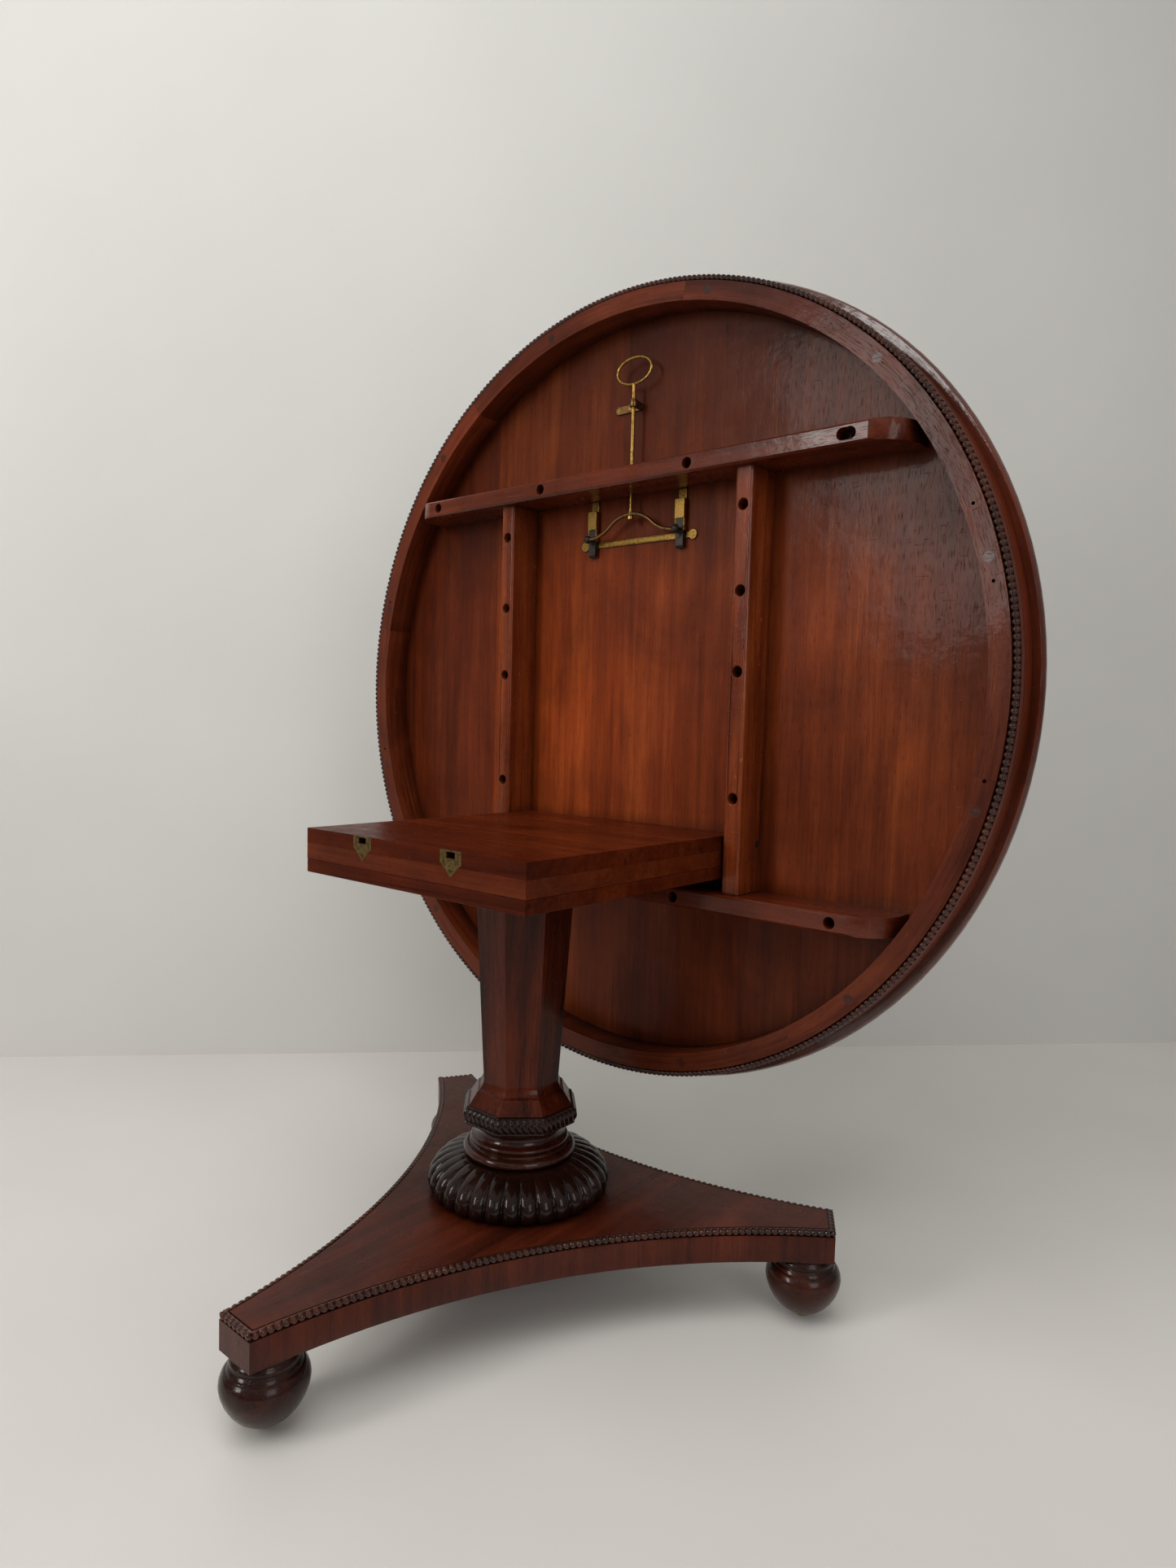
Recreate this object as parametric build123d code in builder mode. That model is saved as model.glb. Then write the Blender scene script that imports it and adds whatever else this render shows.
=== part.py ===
from build123d import *
from math import atan2, cos, degrees, radians, sin, sqrt
import os

os.makedirs("parts", exist_ok=True)

# Tilt top table on a concave three-armed plinth, drawn with its top tilted up.
# Millimetres, +Z up, floor at z = 0, the column stands on the Z axis.
# The top's underside faces -Y, and the pivot runs along X at the rear of the block.

# ---- overall sizes ----
closed_height = 714.3
top_radius = 646.6
base_reach = 471.0

# ---- top: boards, veneer, edge and frieze ----
board_thickness = 22.0
veneer_thickness = 2.0
edge_width = 13.6
board_seams = (-330.0, -28.0, 300.0)
frieze_width = 37.0
frieze_depth = 52.0
frieze_veneer_thickness = 1.6
frieze_segments = 8
frieze_joint_angle = 34.0
glue_line = 0.2
bead_size = 9.0
pellet_count = 12
pellet_first_angle = 15.0
pellet_radius = 7.0
pellet_depth = 5.0
nail_hole_angles = (12.1, 21.7, 163.8, 191.9, 348.7)
nail_hole_radius = 2.4
nail_hole_depth = 10.0

# ---- bearers and cross battens under the top ----
bearer_width = 29.0
bearer_depth = 65.0
bearer_gap = 4.0
batten_width = 28.0
batten_depth = 80.0
upper_batten_from_centre = 331.0
lower_batten_from_centre = 324.0
batten_face_end = 436.0
batten_end_depth = 26.0
batten_ring_gap = 1.0
edge_chamfer = 3.0
batten_counterbore = 30.0
pocket_length = 26.0
pocket_depth = 22.0
bearer_screw_places = (-167.0, 20.0, 138.0, 262.0)
batten_screw_places = (-411.0, -150.0, 150.0, 411.0)
counterbore_radius = 8.5
counterbore_depth = 34.0
wood_screw_radius = 2.8
wood_screw_head_radius = 5.5
wood_screw_head_height = 3.0
wood_screw_bite = 14.0
slot_width = 1.2

# ---- block and pivot ----
block_half_width = 223.0
block_front = 230.0
block_boards = (("top", 21.6), ("middle", 23.4), ("bottom", 19.8))
panel_from_column = 250.0
pivot_to_panel = 13.0
closed_gap = 0.3
rear_gap = 0.6
pin_radius = 5.0
pin_running_gap = 0.05
pin_depth_in_block = 34.0
washer_radius = 9.0
washer_side_gap = 0.5

# ---- column ----
shaft_top_apothem = 73.0
shaft_low_apothem = 55.5
shaft_low_z = 318.0
cove_foot_apothem = 62.0
cove_foot_z = 303.0
flare_apothem = 76.5
flare_z = 282.0
collar_bottom_z = 255.0
collar_apothem = 85.0
neck_radius = 64.0
torus_radius = 85.0
torus_top_z = 217.0
bun_top_z = 203.0
bun_radius = 138.0
tenon_radius = 24.0
top_tenon_radius = 28.0
top_tenon_length = 38.0
wedge_width = 4.0
wedge_height = 28.0

# ---- plinth ----
plinth_bottom = 98.3
plinth_thickness = 47.2
arm_angles = {"front": 270.0, "right": 30.0, "left": 150.0}
arm_half_width = 33.8
side_waist = 184.0
moulding_size = 9.0
moulding_round = 6.5

# ---- feet and castors ----
foot_reach = 430.0
foot_bottom = 9.0
foot_base_radius = 17.0
foot_bowl = ((29.0, 20.5), (41.0, 34.5), (50.0, 50.0), (53.8, 67.0))
foot_rim_radius = 51.0
foot_rim_drop = 16.0
foot_ring_radius = 47.5
foot_neck_radius = 38.0
foot_dowel_radius = 14.0
foot_dowel_length = 24.0
cup_radius = 14.0
cup_wall = 1.2
cup_bottom = 5.0
cup_height = 18.0
wheel_radius = 7.5
wheel_width = 7.0
castor_trail = 3.5
axle_radius = 1.8
stem_radius = 4.0
stem_length = 24.0
running_gap = 0.05
side_play = 0.4
cheek_thickness = 2.0
cheek_radius = 4.0
crown_radius = 9.8

# ---- latch ----
bolt_spread = 91.0
bolt_width = 14.4
bolt_thickness = 6.5
bolt_engagement = 8.0
bolt_travel = 12.0
bolt_gap = 0.3
bolt_body_length = 48.0
bolt_lift = 3.3
strike_slot_gap = 0.9
strike_half_width = 20.0
strike_shoulder = 17.0
strike_height = 35.0
strike_screw_radius = 2.2
strike_thickness = 2.0
strike_proud = 0.4
mortise_depth = 12.0
plate_from_block = 12.5
plate_height = 9.5
plate_thickness = 3.0
plate_ear_spread = 112.0
plate_ear_radius = 8.0
case_wall = 1.5
case_length = 51.0
case_stop = 4.0
case_cover_from = 20.0
case_cover_thickness = 1.2
case_tail = 17.0
spring_wire_radius = 0.5
spring_radius = 2.3
spring_turns = 9
rod_depth = 21.0
rod_radius = 2.2
rod_thick_radius = 3.2
rod_hole_gap = 0.8
yoke_radius = 3.0
yoke_rise = 33.0
knob_radius = 6.5
stud_radius = 2.5
stud_from_tip = 28.5
nut_radius = 5.0
nut_height = 7.0
keeper_from_centre = 461.0
keeper_width = 12.0
keeper_ear_reach = 45.0
keeper_sleeve_radius = 6.2
ring_from_centre = 513.0
ring_half_width = 34.7
ring_half_height = 21.2
ring_wire_radius = 2.3
brass_screw_radius = 1.8
brass_screw_head_radius = 3.4
brass_screw_length = 12.0
brass_head_height = 1.2

# ---- places worked out from the sizes above ----
panel_thickness = board_thickness + veneer_thickness
block_top = closed_height - panel_thickness - closed_gap
block_thickness = sum(height for _, height in block_boards)
block_bottom = block_top - block_thickness
block_rear = panel_from_column - rear_gap
pivot_y = panel_from_column - pivot_to_panel
pivot_z = block_top + closed_gap - pivot_to_panel
top_centre_z = pivot_z + pivot_y
board_radius = top_radius - edge_width
frieze_inner = board_radius - frieze_width
pellet_ring_radius = frieze_inner + (frieze_width - bead_size) / 2
bearer_inner = block_half_width + bearer_gap
bearer_middle = bearer_inner + bearer_width / 2
bearer_top = upper_batten_from_centre - batten_width / 2
bearer_bottom = -lower_batten_from_centre + batten_width / 2
plinth_top = plinth_bottom + plinth_thickness
nose_tip = block_front - bolt_engagement
plate_place = block_front + plate_from_block
case_start = plate_place + plate_height / 2 + 1.0
case_end = case_start + case_length
case_width = bolt_width + 2 * bolt_gap + 2 * case_wall
bolt_end = nose_tip + bolt_body_length
stud_place = nose_tip + stud_from_tip
yoke_top = stud_place + yoke_rise
slot_width_in_strike = bolt_width + 2 * strike_slot_gap
slot_height = bolt_thickness + 2 * strike_slot_gap
slot_middle = bolt_lift + bolt_thickness / 2 - closed_gap
sides = ((-1, "left"), (1, "right"))
latch_screw_points = [
    (-plate_ear_spread, plate_place),
    (plate_ear_spread, plate_place),
    (-60.0, plate_place),
    (60.0, plate_place),
    (0.0, plate_place),
    (-bolt_spread, case_end + case_tail / 2),
    (bolt_spread, case_end + case_tail / 2),
    (-keeper_ear_reach, keeper_from_centre),
    (-keeper_ear_reach / 2, keeper_from_centre),
]

# Plane of the top's underside: local x is X, local y runs up the tilted top from its
# centre, and local z is the distance out of the underside, towards the column.
underside = Plane(
    origin=(0, panel_from_column, top_centre_z), x_dir=(1, 0, 0), z_dir=(0, -1, 0)
)
strike_face = Plane(origin=(0, -block_front, block_top), x_dir=(1, 0, 0), z_dir=(0, -1, 0))


def board_outline(low_x, high_x):
    """Disc of the top between two seams, in the sketch that is open."""
    Circle(board_radius)
    with Locations(((low_x + high_x) / 2, 0)):
        Rectangle(high_x - low_x, 3 * board_radius, mode=Mode.INTERSECT)


with BuildSketch() as strike_outline:
    with BuildLine():
        Polyline((0, 0), (strike_half_width, 0), (strike_half_width, -strike_shoulder))
        ThreePointArc(
            (strike_half_width, -strike_shoulder),
            (0.5 * strike_half_width, -0.72 * strike_height),
            (0, -strike_height),
        )
        mirror(about=Plane.YZ)
    make_face()


def strike_screw_points(side):
    """Two screws beside the slot and one above the strike's point."""
    beside = (slot_width_in_strike / 2 + strike_half_width) / 2
    return [
        (side * bolt_spread - beside, -slot_middle - 3),
        (side * bolt_spread + beside, -slot_middle - 3),
        (side * bolt_spread, -strike_height + 8),
    ]


# ---- top boards, glued edge to edge, with the pilot holes of every screw ----
seam_edges = (-board_radius, *board_seams, board_radius)
bearer_screw_points = [
    (side * bearer_middle, place) for side in (-1, 1) for place in bearer_screw_places
]
upper_screw_points = [(x, upper_batten_from_centre) for x in batten_screw_places]
lower_screw_points = [(x, -lower_batten_from_centre) for x in batten_screw_places]
for number, (low_x, high_x) in enumerate(zip(seam_edges, seam_edges[1:]), 1):
    with BuildPart() as top_board:
        with BuildSketch(underside.offset(-board_thickness)):
            board_outline(low_x, high_x)
        extrude(amount=board_thickness)
        with BuildSketch(underside.offset(-wood_screw_bite)):
            with Locations(*bearer_screw_points, *upper_screw_points, *lower_screw_points):
                Circle(wood_screw_radius)
        extrude(amount=wood_screw_bite, mode=Mode.SUBTRACT)
        with BuildSketch(underside.offset(-brass_screw_length)):
            with Locations(*latch_screw_points):
                Circle(brass_screw_radius)
        extrude(amount=brass_screw_length, mode=Mode.SUBTRACT)
    top_board.part.label = f"top_board_{number}"
    export_step(top_board.part, f"parts/top_board_{number}.step")

# ---- veneer on the show face, and the rounded lipping round the edge ----
with BuildPart() as top_veneer:
    with BuildSketch(underside.offset(-panel_thickness)):
        Circle(board_radius)
    extrude(amount=veneer_thickness)
top_veneer.part.label = "top_veneer"
export_step(top_veneer.part, "parts/top_veneer.step")

# The revolved rings are drawn on a plane whose local x is the radius and whose
# local y is the distance out of the underside.
ring_section = Plane(
    origin=(0, panel_from_column, top_centre_z), x_dir=(1, 0, 0), z_dir=(0, 0, 1)
)
top_axis = Axis((0, panel_from_column, top_centre_z), (0, 1, 0))

with BuildPart() as edge_lipping:
    with BuildSketch(ring_section):
        with BuildLine():
            Polyline((top_radius - 7, panel_thickness), (board_radius, panel_thickness),
                     (board_radius, 0), (top_radius - 3.5, 0))
            ThreePointArc((top_radius - 3.5, 0), (top_radius, 7.5),
                          (top_radius - 7, panel_thickness))
        make_face()
    revolve(axis=top_axis)
edge_lipping.part.label = "edge_lipping"
export_step(edge_lipping.part, "parts/edge_lipping.step")

# ---- frieze: segments, veneered outer face, bead at the lower corner, pellets ----
segment_radius = board_radius - frieze_veneer_thickness
bead_rebate = bead_size - frieze_veneer_thickness
segment_sweep = 360 / frieze_segments
glue_line_angle = degrees(glue_line / frieze_inner)
with BuildPart() as frieze_ring:
    for index in range(frieze_segments):
        turn = -(frieze_joint_angle + index * segment_sweep)
        with BuildSketch(ring_section.rotated((0, turn, 0))):
            with Locations((frieze_inner, 0)):
                Rectangle(segment_radius - frieze_inner, frieze_depth,
                          align=(Align.MIN, Align.MAX))
            with Locations((segment_radius, -frieze_depth)):
                Rectangle(2 * bead_rebate, 2 * bead_size, mode=Mode.SUBTRACT)
        revolve(axis=top_axis, revolution_arc=segment_sweep - glue_line_angle)
    with BuildSketch(underside.offset(frieze_depth - pellet_depth)):
        with PolarLocations(pellet_ring_radius, pellet_count, start_angle=pellet_first_angle):
            Circle(pellet_radius)
    extrude(amount=pellet_depth, mode=Mode.SUBTRACT)
    with BuildSketch(underside.offset(frieze_depth - nail_hole_depth)):
        for angle in nail_hole_angles:
            with PolarLocations(pellet_ring_radius, 1, start_angle=angle):
                Circle(nail_hole_radius)
    extrude(amount=nail_hole_depth, mode=Mode.SUBTRACT)
frieze_ring.part.label = "frieze_ring"
export_step(frieze_ring.part, "parts/frieze_ring.step")

with BuildPart() as frieze_pellets:
    with BuildSketch(underside.offset(frieze_depth - pellet_depth)):
        with PolarLocations(pellet_ring_radius, pellet_count, start_angle=pellet_first_angle):
            Circle(pellet_radius)
    extrude(amount=pellet_depth)
frieze_pellets.part.label = "frieze_pellets"
export_step(frieze_pellets.part, "parts/frieze_pellets.step")

with BuildPart() as frieze_veneer:
    with BuildSketch(ring_section):
        with Locations((segment_radius, 0)):
            Rectangle(frieze_veneer_thickness, frieze_depth - bead_size,
                      align=(Align.MIN, Align.MAX))
    revolve(axis=top_axis)
frieze_veneer.part.label = "frieze_veneer"
export_step(frieze_veneer.part, "parts/frieze_veneer.step")

with BuildPart() as frieze_bead:
    with BuildSketch(ring_section):
        with Locations((board_radius - bead_size, -frieze_depth)):
            Rectangle(bead_size, bead_size, align=(Align.MIN, Align.MIN))
        outer_corner = vertices().group_by(Axis.X)[-1].sort_by(Axis.Y)[0]
        chamfer(outer_corner, length=0.35 * bead_size)
    revolve(axis=top_axis)
frieze_bead.part.label = "frieze_bead"
export_step(frieze_bead.part, "parts/frieze_bead.step")

# ---- bearers: the two rails that carry the pivot pins ----
for side, side_name in sides:
    with BuildPart() as bearer:
        with BuildSketch(underside):
            with Locations((side * bearer_middle, bearer_bottom)):
                Rectangle(bearer_width, bearer_top - bearer_bottom,
                          align=(Align.CENTER, Align.MIN))
        extrude(amount=bearer_depth)
        face_edges = bearer.faces().sort_by(Axis.Y)[0].edges().filter_by(Axis.Z)
        chamfer(face_edges, length=edge_chamfer)
        bearer_points = [(side * bearer_middle, place) for place in bearer_screw_places]
        with BuildSketch(underside):
            with Locations(*bearer_points):
                Circle(wood_screw_radius)
        extrude(amount=bearer_depth, mode=Mode.SUBTRACT)
        with BuildSketch(underside.offset(bearer_depth - counterbore_depth)):
            with Locations(*bearer_points):
                Circle(counterbore_radius)
        extrude(amount=counterbore_depth, mode=Mode.SUBTRACT)
        with BuildSketch(Plane.YZ.offset(side * bearer_middle)):
            with Locations((pivot_y, pivot_z)):
                Circle(pin_radius)
        extrude(amount=bearer_width, both=True, mode=Mode.SUBTRACT)
    bearer.part.label = f"{side_name}_bearer"
    export_step(bearer.part, f"parts/{side_name}_bearer.step")

# ---- cross battens: scooped at their ends and scribed to the ring ----
for batten_name, place in (
    ("upper_batten", upper_batten_from_centre),
    ("lower_batten", -lower_batten_from_centre),
):
    far_edge = abs(place) + batten_width / 2
    half_length = sqrt((frieze_inner - batten_ring_gap) ** 2 - far_edge**2)
    batten_points = [(x, place) for x in batten_screw_places]
    with BuildPart() as batten:
        with BuildSketch(Plane.XY.offset(top_centre_z + place - batten_width / 2)):
            with BuildLine():
                Polyline((0, panel_from_column), (half_length, panel_from_column),
                         (half_length, panel_from_column - batten_end_depth))
                ThreePointArc(
                    (half_length, panel_from_column - batten_end_depth),
                    ((half_length + batten_face_end) / 2 + 4,
                     panel_from_column - batten_depth + 13),
                    (batten_face_end, panel_from_column - batten_depth),
                )
                Line((batten_face_end, panel_from_column - batten_depth),
                     (0, panel_from_column - batten_depth))
                mirror(about=Plane.YZ)
            make_face()
        extrude(amount=batten_width)
        face_edges = batten.faces().sort_by(Axis.Y)[0].edges().filter_by(Axis.X)
        chamfer(face_edges, length=edge_chamfer)
        with BuildSketch(underside):
            with Locations(*batten_points):
                Circle(wood_screw_radius)
        extrude(amount=batten_depth, mode=Mode.SUBTRACT)
        with BuildSketch(underside.offset(batten_depth - batten_counterbore)):
            with Locations(*batten_points):
                Circle(counterbore_radius)
        extrude(amount=batten_counterbore, mode=Mode.SUBTRACT)
        if place > 0:
            with BuildSketch(underside.offset(batten_depth - pocket_depth)):
                with Locations((batten_screw_places[-1] - pocket_length / 4, place)):
                    SlotOverall(pocket_length, 2 * counterbore_radius)
            extrude(amount=pocket_depth, mode=Mode.SUBTRACT)
            with BuildSketch(Plane.XY.offset(top_centre_z + place)):
                with Locations((0, panel_from_column - rod_depth)):
                    Circle(rod_radius + rod_hole_gap)
            extrude(amount=batten_width, both=True, mode=Mode.SUBTRACT)
    batten.part.label = batten_name
    export_step(batten.part, f"parts/{batten_name}.step")

# ---- steel countersunk screws, driven through the rails into the boards ----
for screw_name, points, seat_depth in (
    ("bearer_screws", bearer_screw_points, bearer_depth - counterbore_depth),
    ("batten_screws", upper_screw_points + lower_screw_points, batten_depth - batten_counterbore),
):
    with BuildPart() as wood_screws:
        with BuildSketch(underside.offset(-wood_screw_bite)):
            with Locations(*points):
                Circle(wood_screw_radius)
        extrude(amount=wood_screw_bite + seat_depth)
        with BuildSketch(underside.offset(seat_depth)):
            with Locations(*points):
                Circle(wood_screw_head_radius)
        extrude(amount=wood_screw_head_height)
        with BuildSketch(underside.offset(seat_depth + wood_screw_head_height)):
            with Locations(*points):
                Rectangle(2 * wood_screw_head_radius, slot_width)
        extrude(amount=-wood_screw_head_height / 2, mode=Mode.SUBTRACT)
    wood_screws.part.label = screw_name
    export_step(wood_screws.part, f"parts/{screw_name}.step")

# ---- pivot pins through the bearers, with a washer each side of the block ----
with BuildPart() as pivot_pins:
    for side, side_name in sides:
        inner_end = side * (block_half_width - pin_depth_in_block)
        with BuildSketch(Plane.YZ.offset(inner_end)):
            with Locations((pivot_y, pivot_z)):
                Circle(pin_radius)
        extrude(amount=side * (pin_depth_in_block + bearer_gap + bearer_width))
pivot_pins.part.label = "pivot_pins"
export_step(pivot_pins.part, "parts/pivot_pins.step")

with BuildPart() as pivot_washers:
    for side, side_name in sides:
        with BuildSketch(Plane.YZ.offset(side * (block_half_width + washer_side_gap))):
            with Locations((pivot_y, pivot_z)):
                Circle(washer_radius)
                Circle(pin_radius + pin_running_gap, mode=Mode.SUBTRACT)
        extrude(amount=side * (bearer_gap - washer_side_gap))
pivot_washers.part.label = "pivot_washers"
export_step(pivot_washers.part, "parts/pivot_washers.step")

# ---- block: three boards, the rear top corner rounded about the pivot ----
corner_round = pivot_to_panel - rear_gap
board_top = block_top
for board_name, board_height in block_boards:
    with BuildPart() as block_board:
        with BuildSketch(Plane.XY.offset(board_top)):
            with Locations((0, -block_front)):
                Rectangle(2 * block_half_width, block_front + block_rear,
                          align=(Align.CENTER, Align.MIN))
        extrude(amount=-board_height)
        if board_name == "top":
            rear_edges = block_board.edges().filter_by(Axis.X).group_by(Axis.Y)[-1]
            fillet(rear_edges.sort_by(Axis.Z)[-1], radius=corner_round)
            for side, side_name in sides:
                inner_end = side * (block_half_width - pin_depth_in_block - pin_running_gap)
                with BuildSketch(Plane.YZ.offset(inner_end)):
                    with Locations((pivot_y, pivot_z)):
                        Circle(pin_radius + pin_running_gap)
                extrude(amount=side * 2 * pin_depth_in_block, mode=Mode.SUBTRACT)
            with BuildSketch(strike_face):
                with Locations(*[(side * bolt_spread, -slot_middle) for side, _ in sides]):
                    Rectangle(slot_width_in_strike, slot_height)
            extrude(amount=-mortise_depth, mode=Mode.SUBTRACT)
        if board_name != "top":
            with BuildSketch(Plane.XY.offset(block_bottom)):
                Circle(top_tenon_radius)
            extrude(amount=top_tenon_length, mode=Mode.SUBTRACT)
        with BuildSketch(strike_face):
            with Locations(*[(side * bolt_spread, 0) for side, _ in sides]):
                add(strike_outline.sketch)
        extrude(amount=-(strike_thickness - strike_proud), mode=Mode.SUBTRACT)
    block_board.part.label = f"block_{board_name}_board"
    export_step(block_board.part, f"parts/block_{board_name}_board.step")
    board_top -= board_height

# ---- strike plates let into the block's front face ----
for side, side_name in sides:
    with BuildPart() as strike:
        with BuildSketch(strike_face.offset(strike_proud)):
            with Locations((side * bolt_spread, 0)):
                add(strike_outline.sketch)
            with Locations((side * bolt_spread, -slot_middle)):
                Rectangle(slot_width_in_strike, slot_height, mode=Mode.SUBTRACT)
            with Locations(*strike_screw_points(side)):
                Circle(strike_screw_radius, mode=Mode.SUBTRACT)
        extrude(amount=-strike_thickness)
    strike.part.label = f"{side_name}_strike"
    export_step(strike.part, f"parts/{side_name}_strike.step")

with BuildPart() as strike_screws:
    with BuildSketch(strike_face.offset(strike_proud)):
        for side, side_name in sides:
            with Locations(*strike_screw_points(side)):
                Circle(strike_screw_radius)
                Rectangle(2 * strike_screw_radius, slot_width / 2, mode=Mode.SUBTRACT)
    extrude(amount=-strike_proud)
    with BuildSketch(strike_face):
        for side, side_name in sides:
            with Locations(*strike_screw_points(side)):
                Circle(strike_screw_radius)
    extrude(amount=-(strike_thickness - strike_proud))
strike_screws.part.label = "strike_screws"
export_step(strike_screws.part, "parts/strike_screws.step")

# ---- column shaft: tapered octagon with a flared foot and a tenon at each end ----
with BuildSketch() as shaft_profile:
    with BuildLine():
        Polyline((0, block_bottom), (shaft_top_apothem, block_bottom),
                 (shaft_low_apothem, shaft_low_z))
        ThreePointArc(
            (shaft_low_apothem, shaft_low_z),
            (shaft_low_apothem + 1.8, (shaft_low_z + cove_foot_z) / 2),
            (cove_foot_apothem, cove_foot_z),
        )
        Polyline((cove_foot_apothem, cove_foot_z), (cove_foot_apothem + 2, cove_foot_z - 1),
                 (flare_apothem, flare_z), (0, flare_z))
        mirror(about=Plane.YZ)
    make_face()

octagon_turns = (45, 90, 135)
with BuildPart() as column_shaft:
    with BuildSketch(Plane.XZ):
        add(shaft_profile.sketch)
    extrude(amount=2 * collar_apothem, both=True)
    for turn in octagon_turns:
        with BuildSketch(Plane.XZ.rotated((0, 0, turn))):
            add(shaft_profile.sketch)
        extrude(amount=2 * collar_apothem, both=True, mode=Mode.INTERSECT)
    with BuildSketch(Plane.XY.offset(block_bottom)):
        Circle(top_tenon_radius)
    extrude(amount=top_tenon_length)
    with BuildSketch(Plane.XY.offset(plinth_bottom)):
        Circle(tenon_radius)
    extrude(amount=flare_z - plinth_bottom)
    with BuildSketch(Plane.XY.offset(plinth_bottom)):
        Rectangle(wedge_width, 2 * tenon_radius)
    extrude(amount=wedge_height, mode=Mode.SUBTRACT)
column_shaft.part.label = "column_shaft"
export_step(column_shaft.part, "parts/column_shaft.step")

with BuildPart() as tenon_wedge:
    with BuildSketch(Plane.XY.offset(plinth_bottom)):
        Circle(tenon_radius)
        Rectangle(wedge_width, 2 * tenon_radius, mode=Mode.INTERSECT)
    extrude(amount=wedge_height)
tenon_wedge.part.label = "tenon_wedge"
export_step(tenon_wedge.part, "parts/tenon_wedge.step")

with BuildSketch() as collar_profile:
    with BuildLine():
        Line((0, flare_z), (flare_apothem + 1, flare_z))
        ThreePointArc(
            (flare_apothem + 1, flare_z),
            (collar_apothem - 1.5, (flare_z + collar_bottom_z) / 2 + 4),
            (collar_apothem - 4, collar_bottom_z),
        )
        Line((collar_apothem - 4, collar_bottom_z), (0, collar_bottom_z))
        mirror(about=Plane.YZ)
    make_face()

with BuildPart() as column_collar:
    with BuildSketch(Plane.XZ):
        add(collar_profile.sketch)
    extrude(amount=2 * collar_apothem, both=True)
    for turn in octagon_turns:
        with BuildSketch(Plane.XZ.rotated((0, 0, turn))):
            add(collar_profile.sketch)
        extrude(amount=2 * collar_apothem, both=True, mode=Mode.INTERSECT)
    with BuildSketch(Plane.XY.offset(collar_bottom_z)):
        Circle(tenon_radius)
    extrude(amount=flare_z - collar_bottom_z, mode=Mode.SUBTRACT)
column_collar.part.label = "column_collar"
export_step(column_collar.part, "parts/column_collar.step")

# ---- turned neck: cavetto, small bead, fillet and torus ring ----
with BuildPart() as column_neck:
    with BuildSketch(Plane.XZ):
        with BuildLine():
            Polyline((tenon_radius, collar_bottom_z), (neck_radius + 6, collar_bottom_z),
                     (neck_radius + 6, collar_bottom_z - 5))
            ThreePointArc(
                (neck_radius + 6, collar_bottom_z - 5),
                (neck_radius, collar_bottom_z - 14),
                (neck_radius + 7, torus_top_z + 13),
            )
            ThreePointArc((neck_radius + 7, torus_top_z + 13), (neck_radius + 10, torus_top_z + 10),
                          (neck_radius + 8, torus_top_z + 6))
            Polyline((neck_radius + 8, torus_top_z + 6), (neck_radius + 12, torus_top_z + 4),
                     (neck_radius + 12, torus_top_z), (torus_radius - 6, torus_top_z))
            ThreePointArc(
                (torus_radius - 6, torus_top_z),
                (torus_radius, (torus_top_z + bun_top_z) / 2),
                (torus_radius - 6, bun_top_z),
            )
            Polyline((torus_radius - 6, bun_top_z), (tenon_radius, bun_top_z),
                     (tenon_radius, collar_bottom_z))
        make_face()
    revolve(axis=Axis.Z)
column_neck.part.label = "column_neck"
export_step(column_neck.part, "parts/column_neck.step")

# ---- gadrooned bun: outer shape of the carved ring, its lobes not cut ----
with BuildPart() as gadrooned_bun:
    with BuildSketch(Plane.XZ):
        with BuildLine():
            Polyline((bun_radius - 13, plinth_top), (tenon_radius, plinth_top),
                     (tenon_radius, bun_top_z), (torus_radius - 4, bun_top_z))
            Spline((torus_radius - 4, bun_top_z), (bun_radius - 20, bun_top_z - 12),
                   (bun_radius - 2, bun_top_z - 32), (bun_radius - 3, plinth_top + 9),
                   (bun_radius - 13, plinth_top), tangents=((1, 0), (-1, -0.6)))
        make_face()
    revolve(axis=Axis.Z)
gadrooned_bun.part.label = "gadrooned_bun"
export_step(gadrooned_bun.part, "parts/gadrooned_bun.step")


# ---- plinth: three arms joined by concave sides ----
def arm_point(angle, along, across):
    """A point of an arm in plan: along it from the column, and across to its left."""
    turn = radians(angle)
    return (along * cos(turn) - across * sin(turn), along * sin(turn) + across * cos(turn))


with BuildSketch() as plinth_outline:
    with BuildLine():
        for angle in arm_angles.values():
            end_left = arm_point(angle, base_reach, arm_half_width)
            end_right = arm_point(angle, base_reach, -arm_half_width)
            next_right = arm_point(angle + 120, base_reach, -arm_half_width)
            Line(end_right, end_left)
            ThreePointArc(end_left, arm_point(angle + 60, side_waist, 0), next_right)
    make_face()

with BuildSketch() as moulding_outline:
    add(plinth_outline.sketch)
    offset(amount=-moulding_size, kind=Kind.INTERSECTION, mode=Mode.REPLACE)

with BuildPart() as plinth:
    with BuildSketch(Plane.XY.offset(plinth_bottom)):
        add(plinth_outline.sketch)
    extrude(amount=plinth_thickness)
    with BuildSketch(Plane.XY.offset(plinth_top - moulding_size)):
        add(plinth_outline.sketch)
        add(moulding_outline.sketch, mode=Mode.SUBTRACT)
    extrude(amount=moulding_size, mode=Mode.SUBTRACT)
    with BuildSketch(Plane.XY.offset(plinth_bottom)):
        Circle(tenon_radius)
    extrude(amount=plinth_thickness, mode=Mode.SUBTRACT)
    with BuildSketch(Plane.XY.offset(plinth_bottom)):
        with Locations(*[arm_point(angle, foot_reach, 0) for angle in arm_angles.values()]):
            Circle(foot_dowel_radius)
    extrude(amount=foot_dowel_length, mode=Mode.SUBTRACT)
plinth.part.label = "plinth"
export_step(plinth.part, "parts/plinth.step")

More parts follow.
